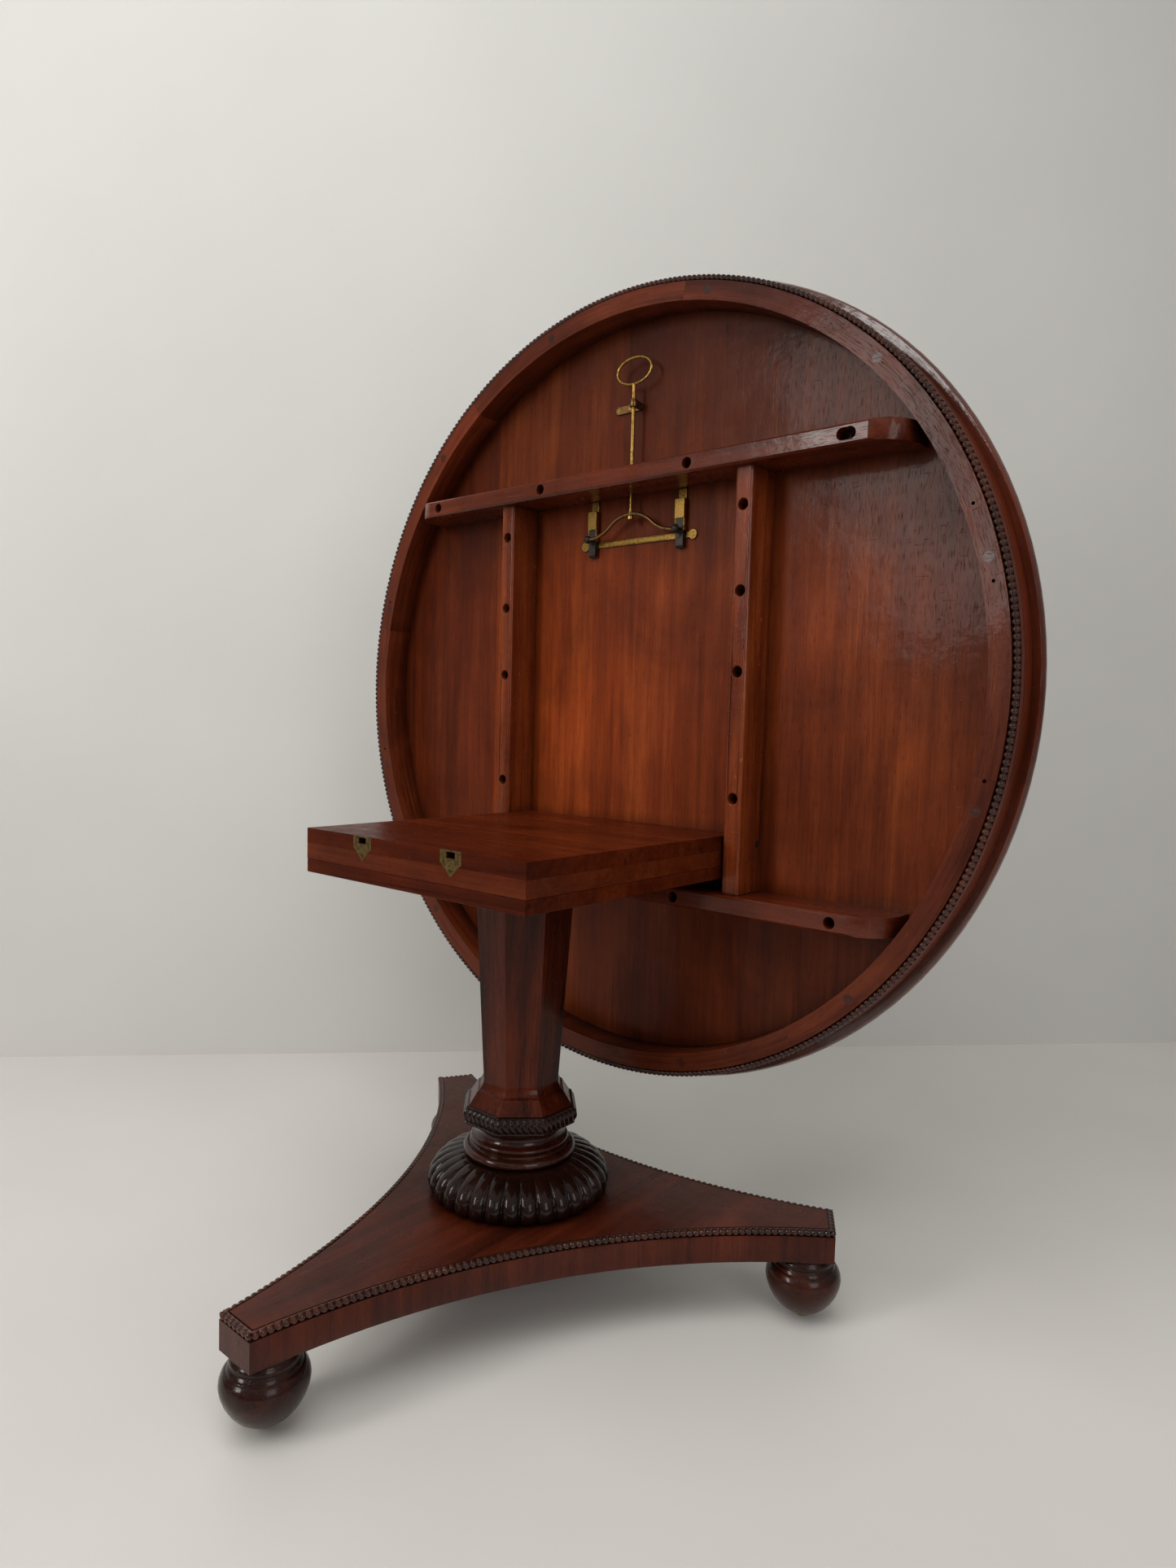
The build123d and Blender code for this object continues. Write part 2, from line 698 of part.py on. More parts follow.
with BuildPart() as plinth_moulding:
    with BuildSketch(Plane.XY.offset(plinth_top - moulding_size)):
        add(plinth_outline.sketch)
        add(moulding_outline.sketch, mode=Mode.SUBTRACT)
    extrude(amount=moulding_size)
    chamfer(plinth_moulding.faces().sort_by(Axis.Z)[-1].outer_wire().edges(),
            length=moulding_round)
plinth_moulding.part.label = "plinth_moulding"
export_step(plinth_moulding.part, "parts/plinth_moulding.step")

# ---- turned bun feet, each hollowed for its castor ----
cup_top = cup_bottom + cup_height
rim_z = plinth_bottom - foot_rim_drop
for foot_name, angle in arm_angles.items():
    foot_x, foot_y = arm_point(angle, foot_reach, 0)
    with BuildPart() as foot:
        with BuildSketch(Plane(origin=(foot_x, foot_y, 0), x_dir=(1, 0, 0), z_dir=(0, -1, 0))):
            with BuildLine():
                Line((0, foot_bottom), (foot_base_radius, foot_bottom))
                Spline((foot_base_radius, foot_bottom), *foot_bowl, (foot_rim_radius, rim_z))
                Line((foot_rim_radius, rim_z), (foot_ring_radius - 2, rim_z + 2))
                ThreePointArc(
                    (foot_ring_radius - 2, rim_z + 2),
                    (foot_ring_radius, rim_z + 6),
                    (foot_ring_radius - 4, rim_z + 11),
                )
                Polyline((foot_ring_radius - 4, rim_z + 11), (foot_neck_radius, rim_z + 12),
                         (foot_neck_radius, plinth_bottom), (foot_dowel_radius, plinth_bottom),
                         (foot_dowel_radius, plinth_bottom + foot_dowel_length),
                         (0, plinth_bottom + foot_dowel_length), (0, foot_bottom))
            make_face()
        revolve(axis=Axis((foot_x, foot_y, 0), (0, 0, 1)))
        with BuildSketch(Plane.XY.offset(foot_bottom)):
            with Locations((foot_x, foot_y)):
                Circle(cup_radius)
        extrude(amount=cup_top - foot_bottom, mode=Mode.SUBTRACT)
        with BuildSketch(Plane.XY.offset(cup_top)):
            with Locations((foot_x, foot_y)):
                Circle(stem_radius + 2)
        extrude(amount=stem_length, mode=Mode.SUBTRACT)
    foot.part.label = f"{foot_name}_foot"
    export_step(foot.part, f"parts/{foot_name}_foot.step")

# ---- castors: a brass cup and socket in the foot, a swivelling horn, a wheel ----
foot_points = [arm_point(angle, foot_reach, 0) for angle in arm_angles.values()]
with BuildPart() as castor_cups:
    with BuildSketch(Plane.XY.offset(cup_bottom)):
        with Locations(*foot_points):
            Circle(cup_radius)
            Circle(cup_radius - cup_wall, mode=Mode.SUBTRACT)
    extrude(amount=cup_height)
    with BuildSketch(Plane.XY.offset(cup_top - cup_wall)):
        with Locations(*foot_points):
            Circle(cup_radius)
    extrude(amount=cup_wall)
    with BuildSketch(Plane.XY.offset(cup_top)):
        with Locations(*foot_points):
            Circle(stem_radius + 2)
    extrude(amount=stem_length)
    with BuildSketch(Plane.XY.offset(cup_top - cup_wall)):
        with Locations(*foot_points):
            Circle(stem_radius + running_gap)
    extrude(amount=stem_length + cup_wall - 1, mode=Mode.SUBTRACT)
castor_cups.part.label = "castor_cups"
export_step(castor_cups.part, "parts/castor_cups.step")

cheek_inner = wheel_width / 2 + side_play
crown_bottom = 2 * wheel_radius + 2 * side_play
crown_top = cup_top - cup_wall - side_play
cheek_rise = crown_bottom - wheel_radius
for foot_name, angle in arm_angles.items():
    foot_x, foot_y = arm_point(angle, foot_reach, 0)
    wheel_x, wheel_y = arm_point(angle, foot_reach + castor_trail, 0)
    axle_plane = Plane(
        origin=(wheel_x, wheel_y, wheel_radius),
        x_dir=(cos(radians(angle)), sin(radians(angle)), 0),
        z_dir=(sin(radians(angle)), -cos(radians(angle)), 0),
    )
    with BuildPart() as castor_horn:
        with BuildSketch(Plane.XY.offset(crown_bottom)):
            with Locations((foot_x, foot_y)):
                Circle(crown_radius)
        extrude(amount=crown_top - crown_bottom)
        with BuildSketch(Plane.XY.offset(crown_top)):
            with Locations((foot_x, foot_y)):
                Circle(stem_radius)
        extrude(amount=stem_length - 2)
        for side in (-1, 1):
            with BuildSketch(axle_plane.offset(side * cheek_inner)):
                with BuildLine():
                    Polyline((cheek_radius, 0), (cheek_radius, cheek_rise),
                             (-castor_trail - 2 * stem_radius, cheek_rise), (-cheek_radius, 0))
                    ThreePointArc((-cheek_radius, 0), (0, -cheek_radius), (cheek_radius, 0))
                make_face()
                Circle(axle_radius, mode=Mode.SUBTRACT)
            extrude(amount=side * cheek_thickness)
    castor_horn.part.label = f"{foot_name}_castor_horn"
    export_step(castor_horn.part, f"parts/{foot_name}_castor_horn.step")

    with BuildPart() as castor_axle:
        with BuildSketch(axle_plane):
            Circle(axle_radius)
        extrude(amount=cheek_inner + cheek_thickness, both=True)
    castor_axle.part.label = f"{foot_name}_castor_axle"
    export_step(castor_axle.part, f"parts/{foot_name}_castor_axle.step")

    with BuildPart() as castor_wheel:
        with BuildSketch(axle_plane):
            Circle(wheel_radius)
            Circle(axle_radius + running_gap, mode=Mode.SUBTRACT)
        extrude(amount=wheel_width / 2, both=True)
        rims = castor_wheel.edges().filter_by(GeomType.CIRCLE).group_by(SortBy.RADIUS)[-1]
        fillet(rims, radius=1.2)
    castor_wheel.part.label = f"{foot_name}_castor_wheel"
    export_step(castor_wheel.part, f"parts/{foot_name}_castor_wheel.step")

# ---- latch: base plate across the bolts, and a channel case for each bolt ----
with BuildPart() as latch_plate:
    with BuildSketch(underside):
        with Locations((0, plate_place)):
            Rectangle(2 * (plate_ear_spread - plate_ear_radius) + 4, plate_height)
        with Locations((-plate_ear_spread, plate_place), (plate_ear_spread, plate_place)):
            Circle(plate_ear_radius)
        with Locations(*latch_screw_points[:5]):
            Circle(brass_screw_radius, mode=Mode.SUBTRACT)
    extrude(amount=plate_thickness)
    with BuildSketch(underside.offset(plate_thickness)):
        with Locations(*latch_screw_points[:5]):
            Circle(brass_screw_head_radius)
    extrude(amount=-brass_head_height, mode=Mode.SUBTRACT)
latch_plate.part.label = "latch_plate"
export_step(latch_plate.part, "parts/latch_plate.step")

case_height = bolt_lift + bolt_thickness + bolt_gap
for side, side_name in sides:
    case_x = side * bolt_spread
    with BuildPart() as latch_case:
        with BuildSketch(underside):
            with Locations((case_x, case_start)):
                Rectangle(case_width, case_length, align=(Align.CENTER, Align.MIN))
        extrude(amount=case_height)
        with BuildSketch(underside.offset(plate_thickness)):
            with Locations((case_x, case_start)):
                Rectangle(case_width - 2 * case_wall, case_length - case_stop,
                          align=(Align.CENTER, Align.MIN))
        extrude(amount=case_height, mode=Mode.SUBTRACT)
        with BuildSketch(underside.offset(case_height)):
            with Locations((case_x, case_start + case_cover_from)):
                Rectangle(case_width, case_length - case_cover_from,
                          align=(Align.CENTER, Align.MIN))
        extrude(amount=case_cover_thickness)
        with BuildSketch(underside):
            with Locations((case_x, case_end)):
                Rectangle(case_width - 3, case_tail, align=(Align.CENTER, Align.MIN))
            with Locations((case_x, case_end + case_tail / 2)):
                Circle(brass_screw_radius, mode=Mode.SUBTRACT)
        extrude(amount=plate_thickness)
        with BuildSketch(underside.offset(plate_thickness)):
            with Locations((case_x, case_end + case_tail / 2)):
                Circle(brass_screw_head_radius)
        extrude(amount=-brass_head_height, mode=Mode.SUBTRACT)
    latch_case.part.label = f"{side_name}_latch_case"
    export_step(latch_case.part, f"parts/{side_name}_latch_case.step")

    with BuildPart() as latch_bolt:
        with BuildSketch(underside.offset(bolt_lift)):
            with Locations((case_x, nose_tip)):
                Rectangle(bolt_width, bolt_body_length, align=(Align.CENTER, Align.MIN))
        extrude(amount=bolt_thickness)
        nose_edge = latch_bolt.edges().filter_by(Axis.X).group_by(Axis.Z)[0].sort_by(Axis.Y)[0]
        chamfer(nose_edge, length=3.5)
        with BuildSketch(underside.offset(bolt_lift + bolt_thickness)):
            with Locations((case_x, stud_place)):
                Circle(stud_radius)
        extrude(amount=rod_depth - knob_radius + 1 - bolt_lift - bolt_thickness)
    latch_bolt.part.label = f"{side_name}_latch_bolt"
    export_step(latch_bolt.part, f"parts/{side_name}_latch_bolt.step")

# ---- bolt springs, coiled in the cases between each bolt and its stop ----
spring_height = case_end - case_stop - bolt_end - 2 * spring_wire_radius
with BuildPart() as bolt_springs:
    for side, side_name in sides:
        foot = underside.from_local_coords(
            (side * bolt_spread, bolt_end + spring_wire_radius, bolt_lift + bolt_thickness / 2)
        )
        with BuildLine() as coil:
            Helix(
                pitch=spring_height / spring_turns,
                height=spring_height,
                radius=spring_radius,
                center=foot,
            )
        with BuildSketch(Plane(origin=coil.line @ 0, z_dir=coil.line % 0)):
            Circle(spring_wire_radius)
        sweep(path=coil.line)
bolt_springs.part.label = "bolt_springs"
export_step(bolt_springs.part, "parts/bolt_springs.step")

# ---- yoke: bow-shaped rod that lifts both bolts together, with its end knobs ----
yoke_plane = underside.offset(rod_depth)
half_run = (bolt_spread - knob_radius + 1.5) / 2
with BuildPart() as yoke:
    with BuildLine(yoke_plane):
        for side in (-1, 1):
            bend = RadiusArc(
                (side * 2 * half_run, stud_place), (side * half_run, stud_place + yoke_rise / 2),
                side * (half_run**2 + (yoke_rise / 2) ** 2) / yoke_rise,
            )
            RadiusArc(
                (side * half_run, stud_place + yoke_rise / 2), (0, yoke_top),
                -side * (half_run**2 + (yoke_rise / 2) ** 2) / yoke_rise,
            )
    with BuildSketch(Plane.YZ.offset(-2 * half_run)):
        with Locations((panel_from_column - rod_depth, top_centre_z + stud_place)):
            Circle(yoke_radius)
    sweep()
    with BuildSketch(Plane.XY.offset(top_centre_z + yoke_top - 3)):
        with Locations((0, panel_from_column - rod_depth)):
            Circle(nut_radius - 0.5)
    extrude(amount=6)
    with BuildSketch(Plane.XY.offset(top_centre_z + yoke_top - 3)):
        with Locations((0, panel_from_column - rod_depth)):
            Circle(rod_radius)
    extrude(amount=6, mode=Mode.SUBTRACT)
    with Locations(*[underside.from_local_coords((side * bolt_spread, stud_place, rod_depth))
                     for side, _ in sides]):
        Sphere(knob_radius, mode=Mode.SUBTRACT)
yoke.part.label = "yoke"
export_step(yoke.part, "parts/yoke.step")

with BuildPart() as yoke_knobs:
    with Locations(*[underside.from_local_coords((side * bolt_spread, stud_place, rod_depth))
                     for side, _ in sides]):
        Sphere(knob_radius)
    with BuildSketch(underside.offset(rod_depth - knob_radius - 2)):
        with Locations(*[(side * bolt_spread, stud_place) for side, _ in sides]):
            Circle(stud_radius)
    extrude(amount=3, mode=Mode.SUBTRACT)
yoke_knobs.part.label = "yoke_knobs"
export_step(yoke_knobs.part, "parts/yoke_knobs.step")

# ---- pull rod from the yoke to the ring, its upper part thicker ----
rod_y = panel_from_column - rod_depth
rod_bottom = yoke_top - 3 - nut_height
rod_top = ring_from_centre - ring_half_height
thick_start = upper_batten_from_centre + batten_width / 2 + 4
with BuildPart() as pull_rod:
    with BuildSketch(Plane.XY.offset(top_centre_z + rod_bottom)):
        with Locations((0, rod_y)):
            Circle(rod_radius)
    extrude(amount=rod_top - rod_bottom)
    with BuildSketch(Plane.XY.offset(top_centre_z + thick_start)):
        with Locations((0, rod_y)):
            Circle(rod_thick_radius)
    extrude(amount=rod_top - thick_start)
pull_rod.part.label = "pull_rod"
export_step(pull_rod.part, "parts/pull_rod.step")

with BuildPart() as rod_nut:
    with BuildSketch(Plane.XY.offset(top_centre_z + rod_bottom)):
        with Locations((0, rod_y)):
            Circle(nut_radius)
            Circle(rod_radius, mode=Mode.SUBTRACT)
    extrude(amount=nut_height)
    chamfer(rod_nut.edges().filter_by(GeomType.CIRCLE).group_by(SortBy.RADIUS)[-1], length=1.2)
rod_nut.part.label = "rod_nut"
export_step(rod_nut.part, "parts/rod_nut.step")

# ---- oval ring handle on the end of the rod ----
with BuildPart() as pull_ring:
    with BuildLine(yoke_plane) as ring_line:
        EllipticalCenterArc((0, ring_from_centre), ring_half_width, ring_half_height,
                            start_angle=0, arc_size=360)
    with BuildSketch(Plane(origin=ring_line.line @ 0, z_dir=ring_line.line % 0)):
        Circle(ring_wire_radius)
    sweep(path=ring_line.line)
    with BuildSketch(Plane.XY.offset(top_centre_z + rod_top - 2)):
        with Locations((0, rod_y)):
            Circle(rod_thick_radius)
    extrude(amount=-6, mode=Mode.SUBTRACT)
    with BuildSketch(Plane.XY.offset(top_centre_z + rod_top)):
        with Locations((0, rod_y)):
            Circle(rod_thick_radius)
    extrude(amount=-4, mode=Mode.SUBTRACT)
pull_ring.part.label = "pull_ring"
export_step(pull_ring.part, "parts/pull_ring.step")

# ---- keeper that guides the rod, standing on an eared foot ----
with BuildPart() as rod_keeper:
    with BuildSketch(underside):
        with Locations((-keeper_ear_reach / 2, keeper_from_centre)):
            SlotOverall(keeper_ear_reach + keeper_width, keeper_width)
        with Locations(*latch_screw_points[7:]):
            Circle(brass_screw_radius, mode=Mode.SUBTRACT)
    extrude(amount=plate_thickness)
    with BuildSketch(underside.offset(plate_thickness)):
        with Locations(*latch_screw_points[7:]):
            Circle(brass_screw_head_radius)
    extrude(amount=-brass_head_height, mode=Mode.SUBTRACT)
    with BuildSketch(underside.offset(plate_thickness)):
        with Locations((0, keeper_from_centre)):
            Rectangle(plate_thickness, keeper_width)
    extrude(amount=rod_depth - plate_thickness)
    with BuildSketch(Plane.XY.offset(top_centre_z + keeper_from_centre - keeper_width / 2)):
        with Locations((0, rod_y)):
            Circle(keeper_sleeve_radius)
    extrude(amount=keeper_width)
    with BuildSketch(Plane.XY.offset(top_centre_z + keeper_from_centre - keeper_width)):
        with Locations((0, rod_y)):
            Circle(rod_thick_radius + 3 * running_gap)
    extrude(amount=2 * keeper_width, mode=Mode.SUBTRACT)
rod_keeper.part.label = "rod_keeper"
export_step(rod_keeper.part, "parts/rod_keeper.step")

# ---- brass screws of the latch ----
with BuildPart() as latch_screws:
    with BuildSketch(underside.offset(-brass_screw_length)):
        with Locations(*latch_screw_points):
            Circle(brass_screw_radius)
    extrude(amount=brass_screw_length + plate_thickness - brass_head_height)
    with BuildSketch(underside.offset(plate_thickness - brass_head_height)):
        with Locations(*latch_screw_points):
            Circle(brass_screw_head_radius)
    extrude(amount=brass_head_height)
latch_screws.part.label = "latch_screws"
export_step(latch_screws.part, "parts/latch_screws.step")
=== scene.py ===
import bpy
import math
from mathutils import Euler, Matrix, Vector


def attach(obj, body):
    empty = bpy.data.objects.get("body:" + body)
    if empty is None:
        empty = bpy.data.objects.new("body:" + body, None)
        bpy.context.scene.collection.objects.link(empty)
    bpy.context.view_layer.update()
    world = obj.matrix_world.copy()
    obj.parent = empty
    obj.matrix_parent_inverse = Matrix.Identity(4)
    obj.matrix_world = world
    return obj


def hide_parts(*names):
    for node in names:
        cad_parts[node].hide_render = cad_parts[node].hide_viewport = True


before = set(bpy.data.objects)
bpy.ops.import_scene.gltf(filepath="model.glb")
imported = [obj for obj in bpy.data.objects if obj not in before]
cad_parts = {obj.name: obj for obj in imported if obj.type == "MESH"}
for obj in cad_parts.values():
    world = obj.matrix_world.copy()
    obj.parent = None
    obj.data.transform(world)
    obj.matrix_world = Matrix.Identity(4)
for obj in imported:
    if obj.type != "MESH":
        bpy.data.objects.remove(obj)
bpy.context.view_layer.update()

# ---- sizes of the part, in metres ----
MM = 0.001
TOP_CENTRE = Vector((0, 250 * MM, 914.3 * MM))
BOARD_RADIUS = 633 * MM
FRIEZE_DEPTH = 52 * MM
FRIEZE_VENEER = 1.6 * MM
BEAD_SIZE = 9 * MM
PLINTH_TOP = 145.5 * MM
BUN_TOP = 203 * MM
PLINTH_REACH = 471 * MM
FOOT_REACH = 430 * MM
ARM_HALF_WIDTH = 33.8 * MM
SIDE_WAIST = 184 * MM
ARM_ANGLES = [math.radians(a) for a in (270, 30, 150)]
COLLAR_TOP = 282 * MM
COLLAR_BOTTOM = 255 * MM
TENON_RADIUS = 24 * MM
RIM_SEGMENTS = 8
FIRST_RIM_JOINT = math.radians(34.0)


# =====================================================================
# Mesh helpers
# =====================================================================
def grid_mesh(name, rows, close_rows=True, close_loop=True, smooth=True):
    """A mesh of quads from rows of points; rows and each row can close on themselves."""
    count = len(rows[0])
    points = [p for row in rows for p in row]
    faces = []
    row_pairs = len(rows) if close_loop else len(rows) - 1
    steps = count if close_rows else count - 1
    for i in range(row_pairs):
        a = i * count
        b = ((i + 1) % len(rows)) * count
        for j in range(steps):
            k = (j + 1) % count
            faces.append((a + j, a + k, b + k, b + j))
    mesh = bpy.data.meshes.new(name)
    mesh.from_pydata([tuple(p) for p in points], [], faces)
    mesh.polygons.foreach_set("use_smooth", [smooth] * len(faces))
    mesh.update()
    obj = bpy.data.objects.new(name, mesh)
    bpy.context.scene.collection.objects.link(obj)
    return obj


def lobe(phase, sharpness=0.6):
    """Height of a carved lobe, 0 in the valleys and 1 on the crests, for a phase in turns."""
    return abs(math.sin(math.pi * phase)) ** sharpness


def closed_path_length(path):
    return sum((path[i] - path[i - 1]).length for i in range(len(path)))


# =====================================================================
# Shader helpers
# =====================================================================
class Graph:
    """A material's node tree with short ways to add and join nodes."""

    def __init__(self, name):
        self.material = bpy.data.materials.new(name)
        self.material.use_nodes = True
        self.nodes = self.material.node_tree.nodes
        self.links = self.material.node_tree.links
        self.nodes.clear()
        self.output = self.nodes.new("ShaderNodeOutputMaterial")
        self.surface = self.nodes.new("ShaderNodeBsdfPrincipled")
        self.links.new(self.surface.outputs[0], self.output.inputs["Surface"])

    def put(self, socket, value):
        """Joins a socket to an output, or sets it to a constant."""
        if isinstance(value, bpy.types.NodeSocket):
            self.links.new(value, socket)
        else:
            socket.default_value = value

    def node(self, kind, inputs=None, **settings):
        node = self.nodes.new("ShaderNode" + kind)
        for key, value in settings.items():
            setattr(node, key, value)
        for key, value in (inputs or {}).items():
            self.put(node.inputs[key], value)
        return node

    def math(self, operation, a, b=0.0, clamp=False):
        node = self.node("Math", {0: a, 1: b}, operation=operation, use_clamp=clamp)
        return node.outputs[0]

    def mix(self, factor, a, b, blend="MIX"):
        node = self.node("Mix", {0: factor, 6: a, 7: b}, data_type="RGBA", blend_type=blend)
        return node.outputs[2]

    def noise(self, vector, scale, detail=3.0, rough=0.55, distortion=0.0):
        node = self.node("TexNoise", {"Vector": vector, "Scale": scale, "Detail": detail,
                                      "Roughness": rough, "Distortion": distortion})
        return node.outputs["Fac"]

    def ramp(self, factor, stops, interpolation="LINEAR"):
        node = self.node("ValToRGB", {"Fac": factor})
        node.color_ramp.interpolation = interpolation
        elements = node.color_ramp.elements
        while len(elements) < len(stops):
            elements.new(0.5)
        for element, (position, colour) in zip(elements, stops):
            element.position = position
            element.color = (*colour, 1.0) if len(colour) == 3 else colour
        return node.outputs["Color"]

    def range(self, value, low, high, to_low=0.0, to_high=1.0):
        node = self.node("MapRange", {"Value": value, "From Min": low, "From Max": high,
                                      "To Min": to_low, "To Max": to_high})
        return node.outputs["Result"]

    def scaled(self, vector, x, y, z):
        node = self.node("VectorMath", {0: vector, 1: (x, y, z)}, operation="MULTIPLY")
        return node.outputs[0]

    def combine(self, x, y, z):
        return self.node("CombineXYZ", {0: x, 1: y, 2: z}).outputs[0]

    def shaded(self, colour, value):
        """The colour made darker or lighter by a grey value."""
        return self.mix(1.0, colour, self.combine(value, value, value), "MULTIPLY")

    def split(self, vector):
        return self.node("SeparateXYZ", {0: vector}).outputs


def grain_along(graph, axis, seed):
    """Grain space with its Z along the wood's grain, for straight-grained pieces."""
    place = graph.split(graph.node("TexCoord").outputs["Object"])
    x, y, z = place[0], place[1], place[2]
    orders = {"X": (y, z, x), "Y": (x, z, y), "Z": (x, y, z)}
    a, b, c = orders[axis]
    return graph.combine(a, b, graph.math("ADD", c, seed))


def rim_segment(graph, x, up):
    """The turn round the top's centre, and the number of the rim's segment there."""
    turn = graph.math("ARCTAN2", up, x)
    share = math.tau / RIM_SEGMENTS
    index = graph.math("FLOOR", graph.math("DIVIDE", graph.math(
        "SUBTRACT", turn, FIRST_RIM_JOINT), share))
    return turn, index


def grain_round_top(graph, seed):
    """Grain that follows the rim, with a fresh cut of wood in each segment."""
    place = graph.split(graph.node("TexCoord").outputs["Object"])
    x = place[0]
    up = graph.math("SUBTRACT", place[2], TOP_CENTRE.z)
    turn, index = rim_segment(graph, x, up)
    radius = graph.math("SQRT", graph.math("ADD", graph.math("MULTIPLY", x, x),
                                           graph.math("MULTIPLY", up, up)))
    along = graph.math("ADD", graph.math("MULTIPLY", turn, BOARD_RADIUS),
                       graph.math("MULTIPLY", index, seed))
    across = graph.math("ADD", radius, graph.math("MULTIPLY", index, 0.37))
    return graph.combine(across, place[1], along)


def grain_round_column(graph, seed, faces=8):
    """Grain up the column, with a different veneer on each of its faces."""
    place = graph.split(graph.node("TexCoord").outputs["Object"])
    turn = graph.math("ARCTAN2", place[1], place[0])
    share = math.tau / faces
    index = graph.math("FLOOR", graph.math("DIVIDE", graph.math(
        "ADD", turn, share / 2), share))
    jump = graph.math("MULTIPLY", index, seed)
    return graph.combine(graph.math("ADD", place[0], jump), place[1],
                         graph.math("ADD", place[2], jump))


def grain_of_veneered_board(graph, flat_axis, seed):
    """Grain along one axis on flat faces, and upright on the veneered sides."""
    coords = graph.node("TexCoord")
    place = graph.split(coords.outputs["Object"])
    facing = graph.split(coords.outputs["Normal"])
    flat = graph.math("GREATER_THAN", graph.math("ABSOLUTE", facing[2]), 0.6)
    x, y, z = place[0], place[1], place[2]
    orders = {"X": (y, z, x), "Y": (x, z, y)}
    a, b, c = orders[flat_axis]
    lying = graph.combine(a, b, graph.math("ADD", c, seed))
    upright = graph.combine(x, y, graph.math("ADD", z, seed))
    node = graph.node("Mix", {0: flat, 4: upright, 5: lying}, data_type="VECTOR")
    return node.outputs[1]


def make_wood(name, grain, dark, mid, light, streaks=0.5, figure=7.0, roughness=0.28,
              coat=0.35, sheen=0.2, contrast=1.0, tone=None, wear=0.0, **grain_settings):
    """Polished hardwood: figure, dark streaks, fine pores, uneven polish and small wear."""
    graph = Graph(name)
    space = grain(graph, **grain_settings)
    place = graph.node("TexCoord").outputs["Object"]

    # broad figure, narrow growth bands and the darker streaks of the heartwood
    broad = graph.noise(graph.scaled(space, figure, figure, figure * 0.16), 1.0, 4, 0.6, 0.9)
    bands = graph.noise(graph.scaled(space, 75, 75, 2.6), 1.0, 4, 0.6, 0.6)
    fleck = graph.noise(graph.scaled(space, 420, 420, 16.0), 1.0, 3, 0.6, 0.2)
    blend = graph.math("ADD", graph.math("MULTIPLY", broad, 0.62),
                       graph.math("MULTIPLY", bands, 0.38))
    spread = 0.17 / contrast
    colour = graph.ramp(blend, [(0.5 - spread, dark), (0.5, mid), (0.5 + spread, light)])
    lines = graph.noise(graph.scaled(space, 60, 60, 0.9), 1.0, 3, 0.6, 1.6)
    line_mask = graph.range(lines, 0.58, 0.72)
    colour = graph.mix(graph.math("MULTIPLY", line_mask, streaks), colour,
                       (dark[0] * 0.30, dark[1] * 0.32, dark[2] * 0.35, 1))
    fleck_tone = graph.range(fleck, 0.30, 0.70, 1 - 0.2 * contrast, 1 + 0.16 * contrast)
    colour = graph.shaded(colour, fleck_tone)

    # open pores, short dark dashes along the grain
    pores = graph.noise(graph.scaled(space, 900, 900, 55), 1.0, 2, 0.5)
    pore_mask = graph.range(pores, 0.60, 0.70)
    colour = graph.mix(graph.math("MULTIPLY", pore_mask, 0.5), colour,
                       (dark[0] * 0.25, dark[1] * 0.22, dark[2] * 0.22, 1))

    # uneven old polish: cloudy tone and handled patches, then painted shade in the corners and
    # recesses
    cloud = graph.noise(place, 6.0, 5, 0.62, 0.5)
    cloud_tone = graph.range(cloud, 0.3, 0.7, 0.72, 1.2)
    colour = graph.shaded(colour, cloud_tone)
    # tone: each rim segment's own tone, or on the underside painted light and shade
    if tone is not None:
        shade = tone(graph, place)
        colour = graph.shaded(colour, shade)
    # painted shade: the colour is darkened where nearby surfaces close in (corners, recesses)
    occlusion_shade = graph.node("AmbientOcclusion", {"Distance": 0.022}, samples=4)
    painted_shade_mask = graph.range(occlusion_shade.outputs["AO"], 0.35, 0.95, 0.5, 1.0)
    colour = graph.shaded(colour, painted_shade_mask)
    if wear > 0:
        spots = graph.noise(place, 60.0, 4, 0.65)
        worn = graph.math("MULTIPLY", graph.range(spots, 0.68, 0.76), wear)
        colour = graph.mix(worn, colour, (light[0] * 1.5, light[1] * 1.7, light[2] * 1.9, 1))

    # dents and knocks, dark where dirt has filled them
    dents = graph.noise(place, 85.0, 2, 0.5, 0.3)
    dent_mask = graph.range(dents, 0.74, 0.79)
    colour = graph.mix(graph.math("MULTIPLY", dent_mask, 0.5), colour,
                       (dark[0] * 0.3, dark[1] * 0.3, dark[2] * 0.3, 1))

    smudge = graph.noise(place, 22.0, 5, 0.7)
    polish = graph.range(smudge, 0.3, 0.7, roughness - 0.08, roughness + 0.12)
    rough = graph.math("ADD", polish, graph.math("MULTIPLY", pore_mask, 0.2))
    scratch = graph.noise(graph.scaled(space, 40, 420, 420), 1.0, 1, 0.4, 0.6)
    scratch_mask = graph.range(scratch, 0.72, 0.76)
    height = graph.math("SUBTRACT", graph.math("MULTIPLY", fleck, 0.35),
                        graph.math("ADD", graph.math("MULTIPLY", pore_mask, 0.6),
                                   graph.math("ADD", scratch_mask, dent_mask)))
    bump = graph.node("Bump", {"Strength": 0.3, "Distance": 0.0006, "Height": height})
    ripple = graph.node("Bump", {"Strength": 0.4, "Distance": 0.0012,
                                 "Height": graph.noise(place, 34.0, 3, 0.5),
                                 "Normal": bump.outputs[0]})
    surface = graph.surface
    graph.put(surface.inputs["Base Color"], colour)
    graph.put(surface.inputs["Roughness"], rough)
    graph.put(surface.inputs["Coat Weight"], coat)
    graph.put(surface.inputs["Coat Roughness"], 0.10)
    graph.put(surface.inputs["Specular IOR Level"], sheen)
    graph.put(surface.inputs["Normal"], ripple.outputs[0])
    graph.put(surface.inputs["Coat Normal"], ripple.outputs[0])
    return graph.material


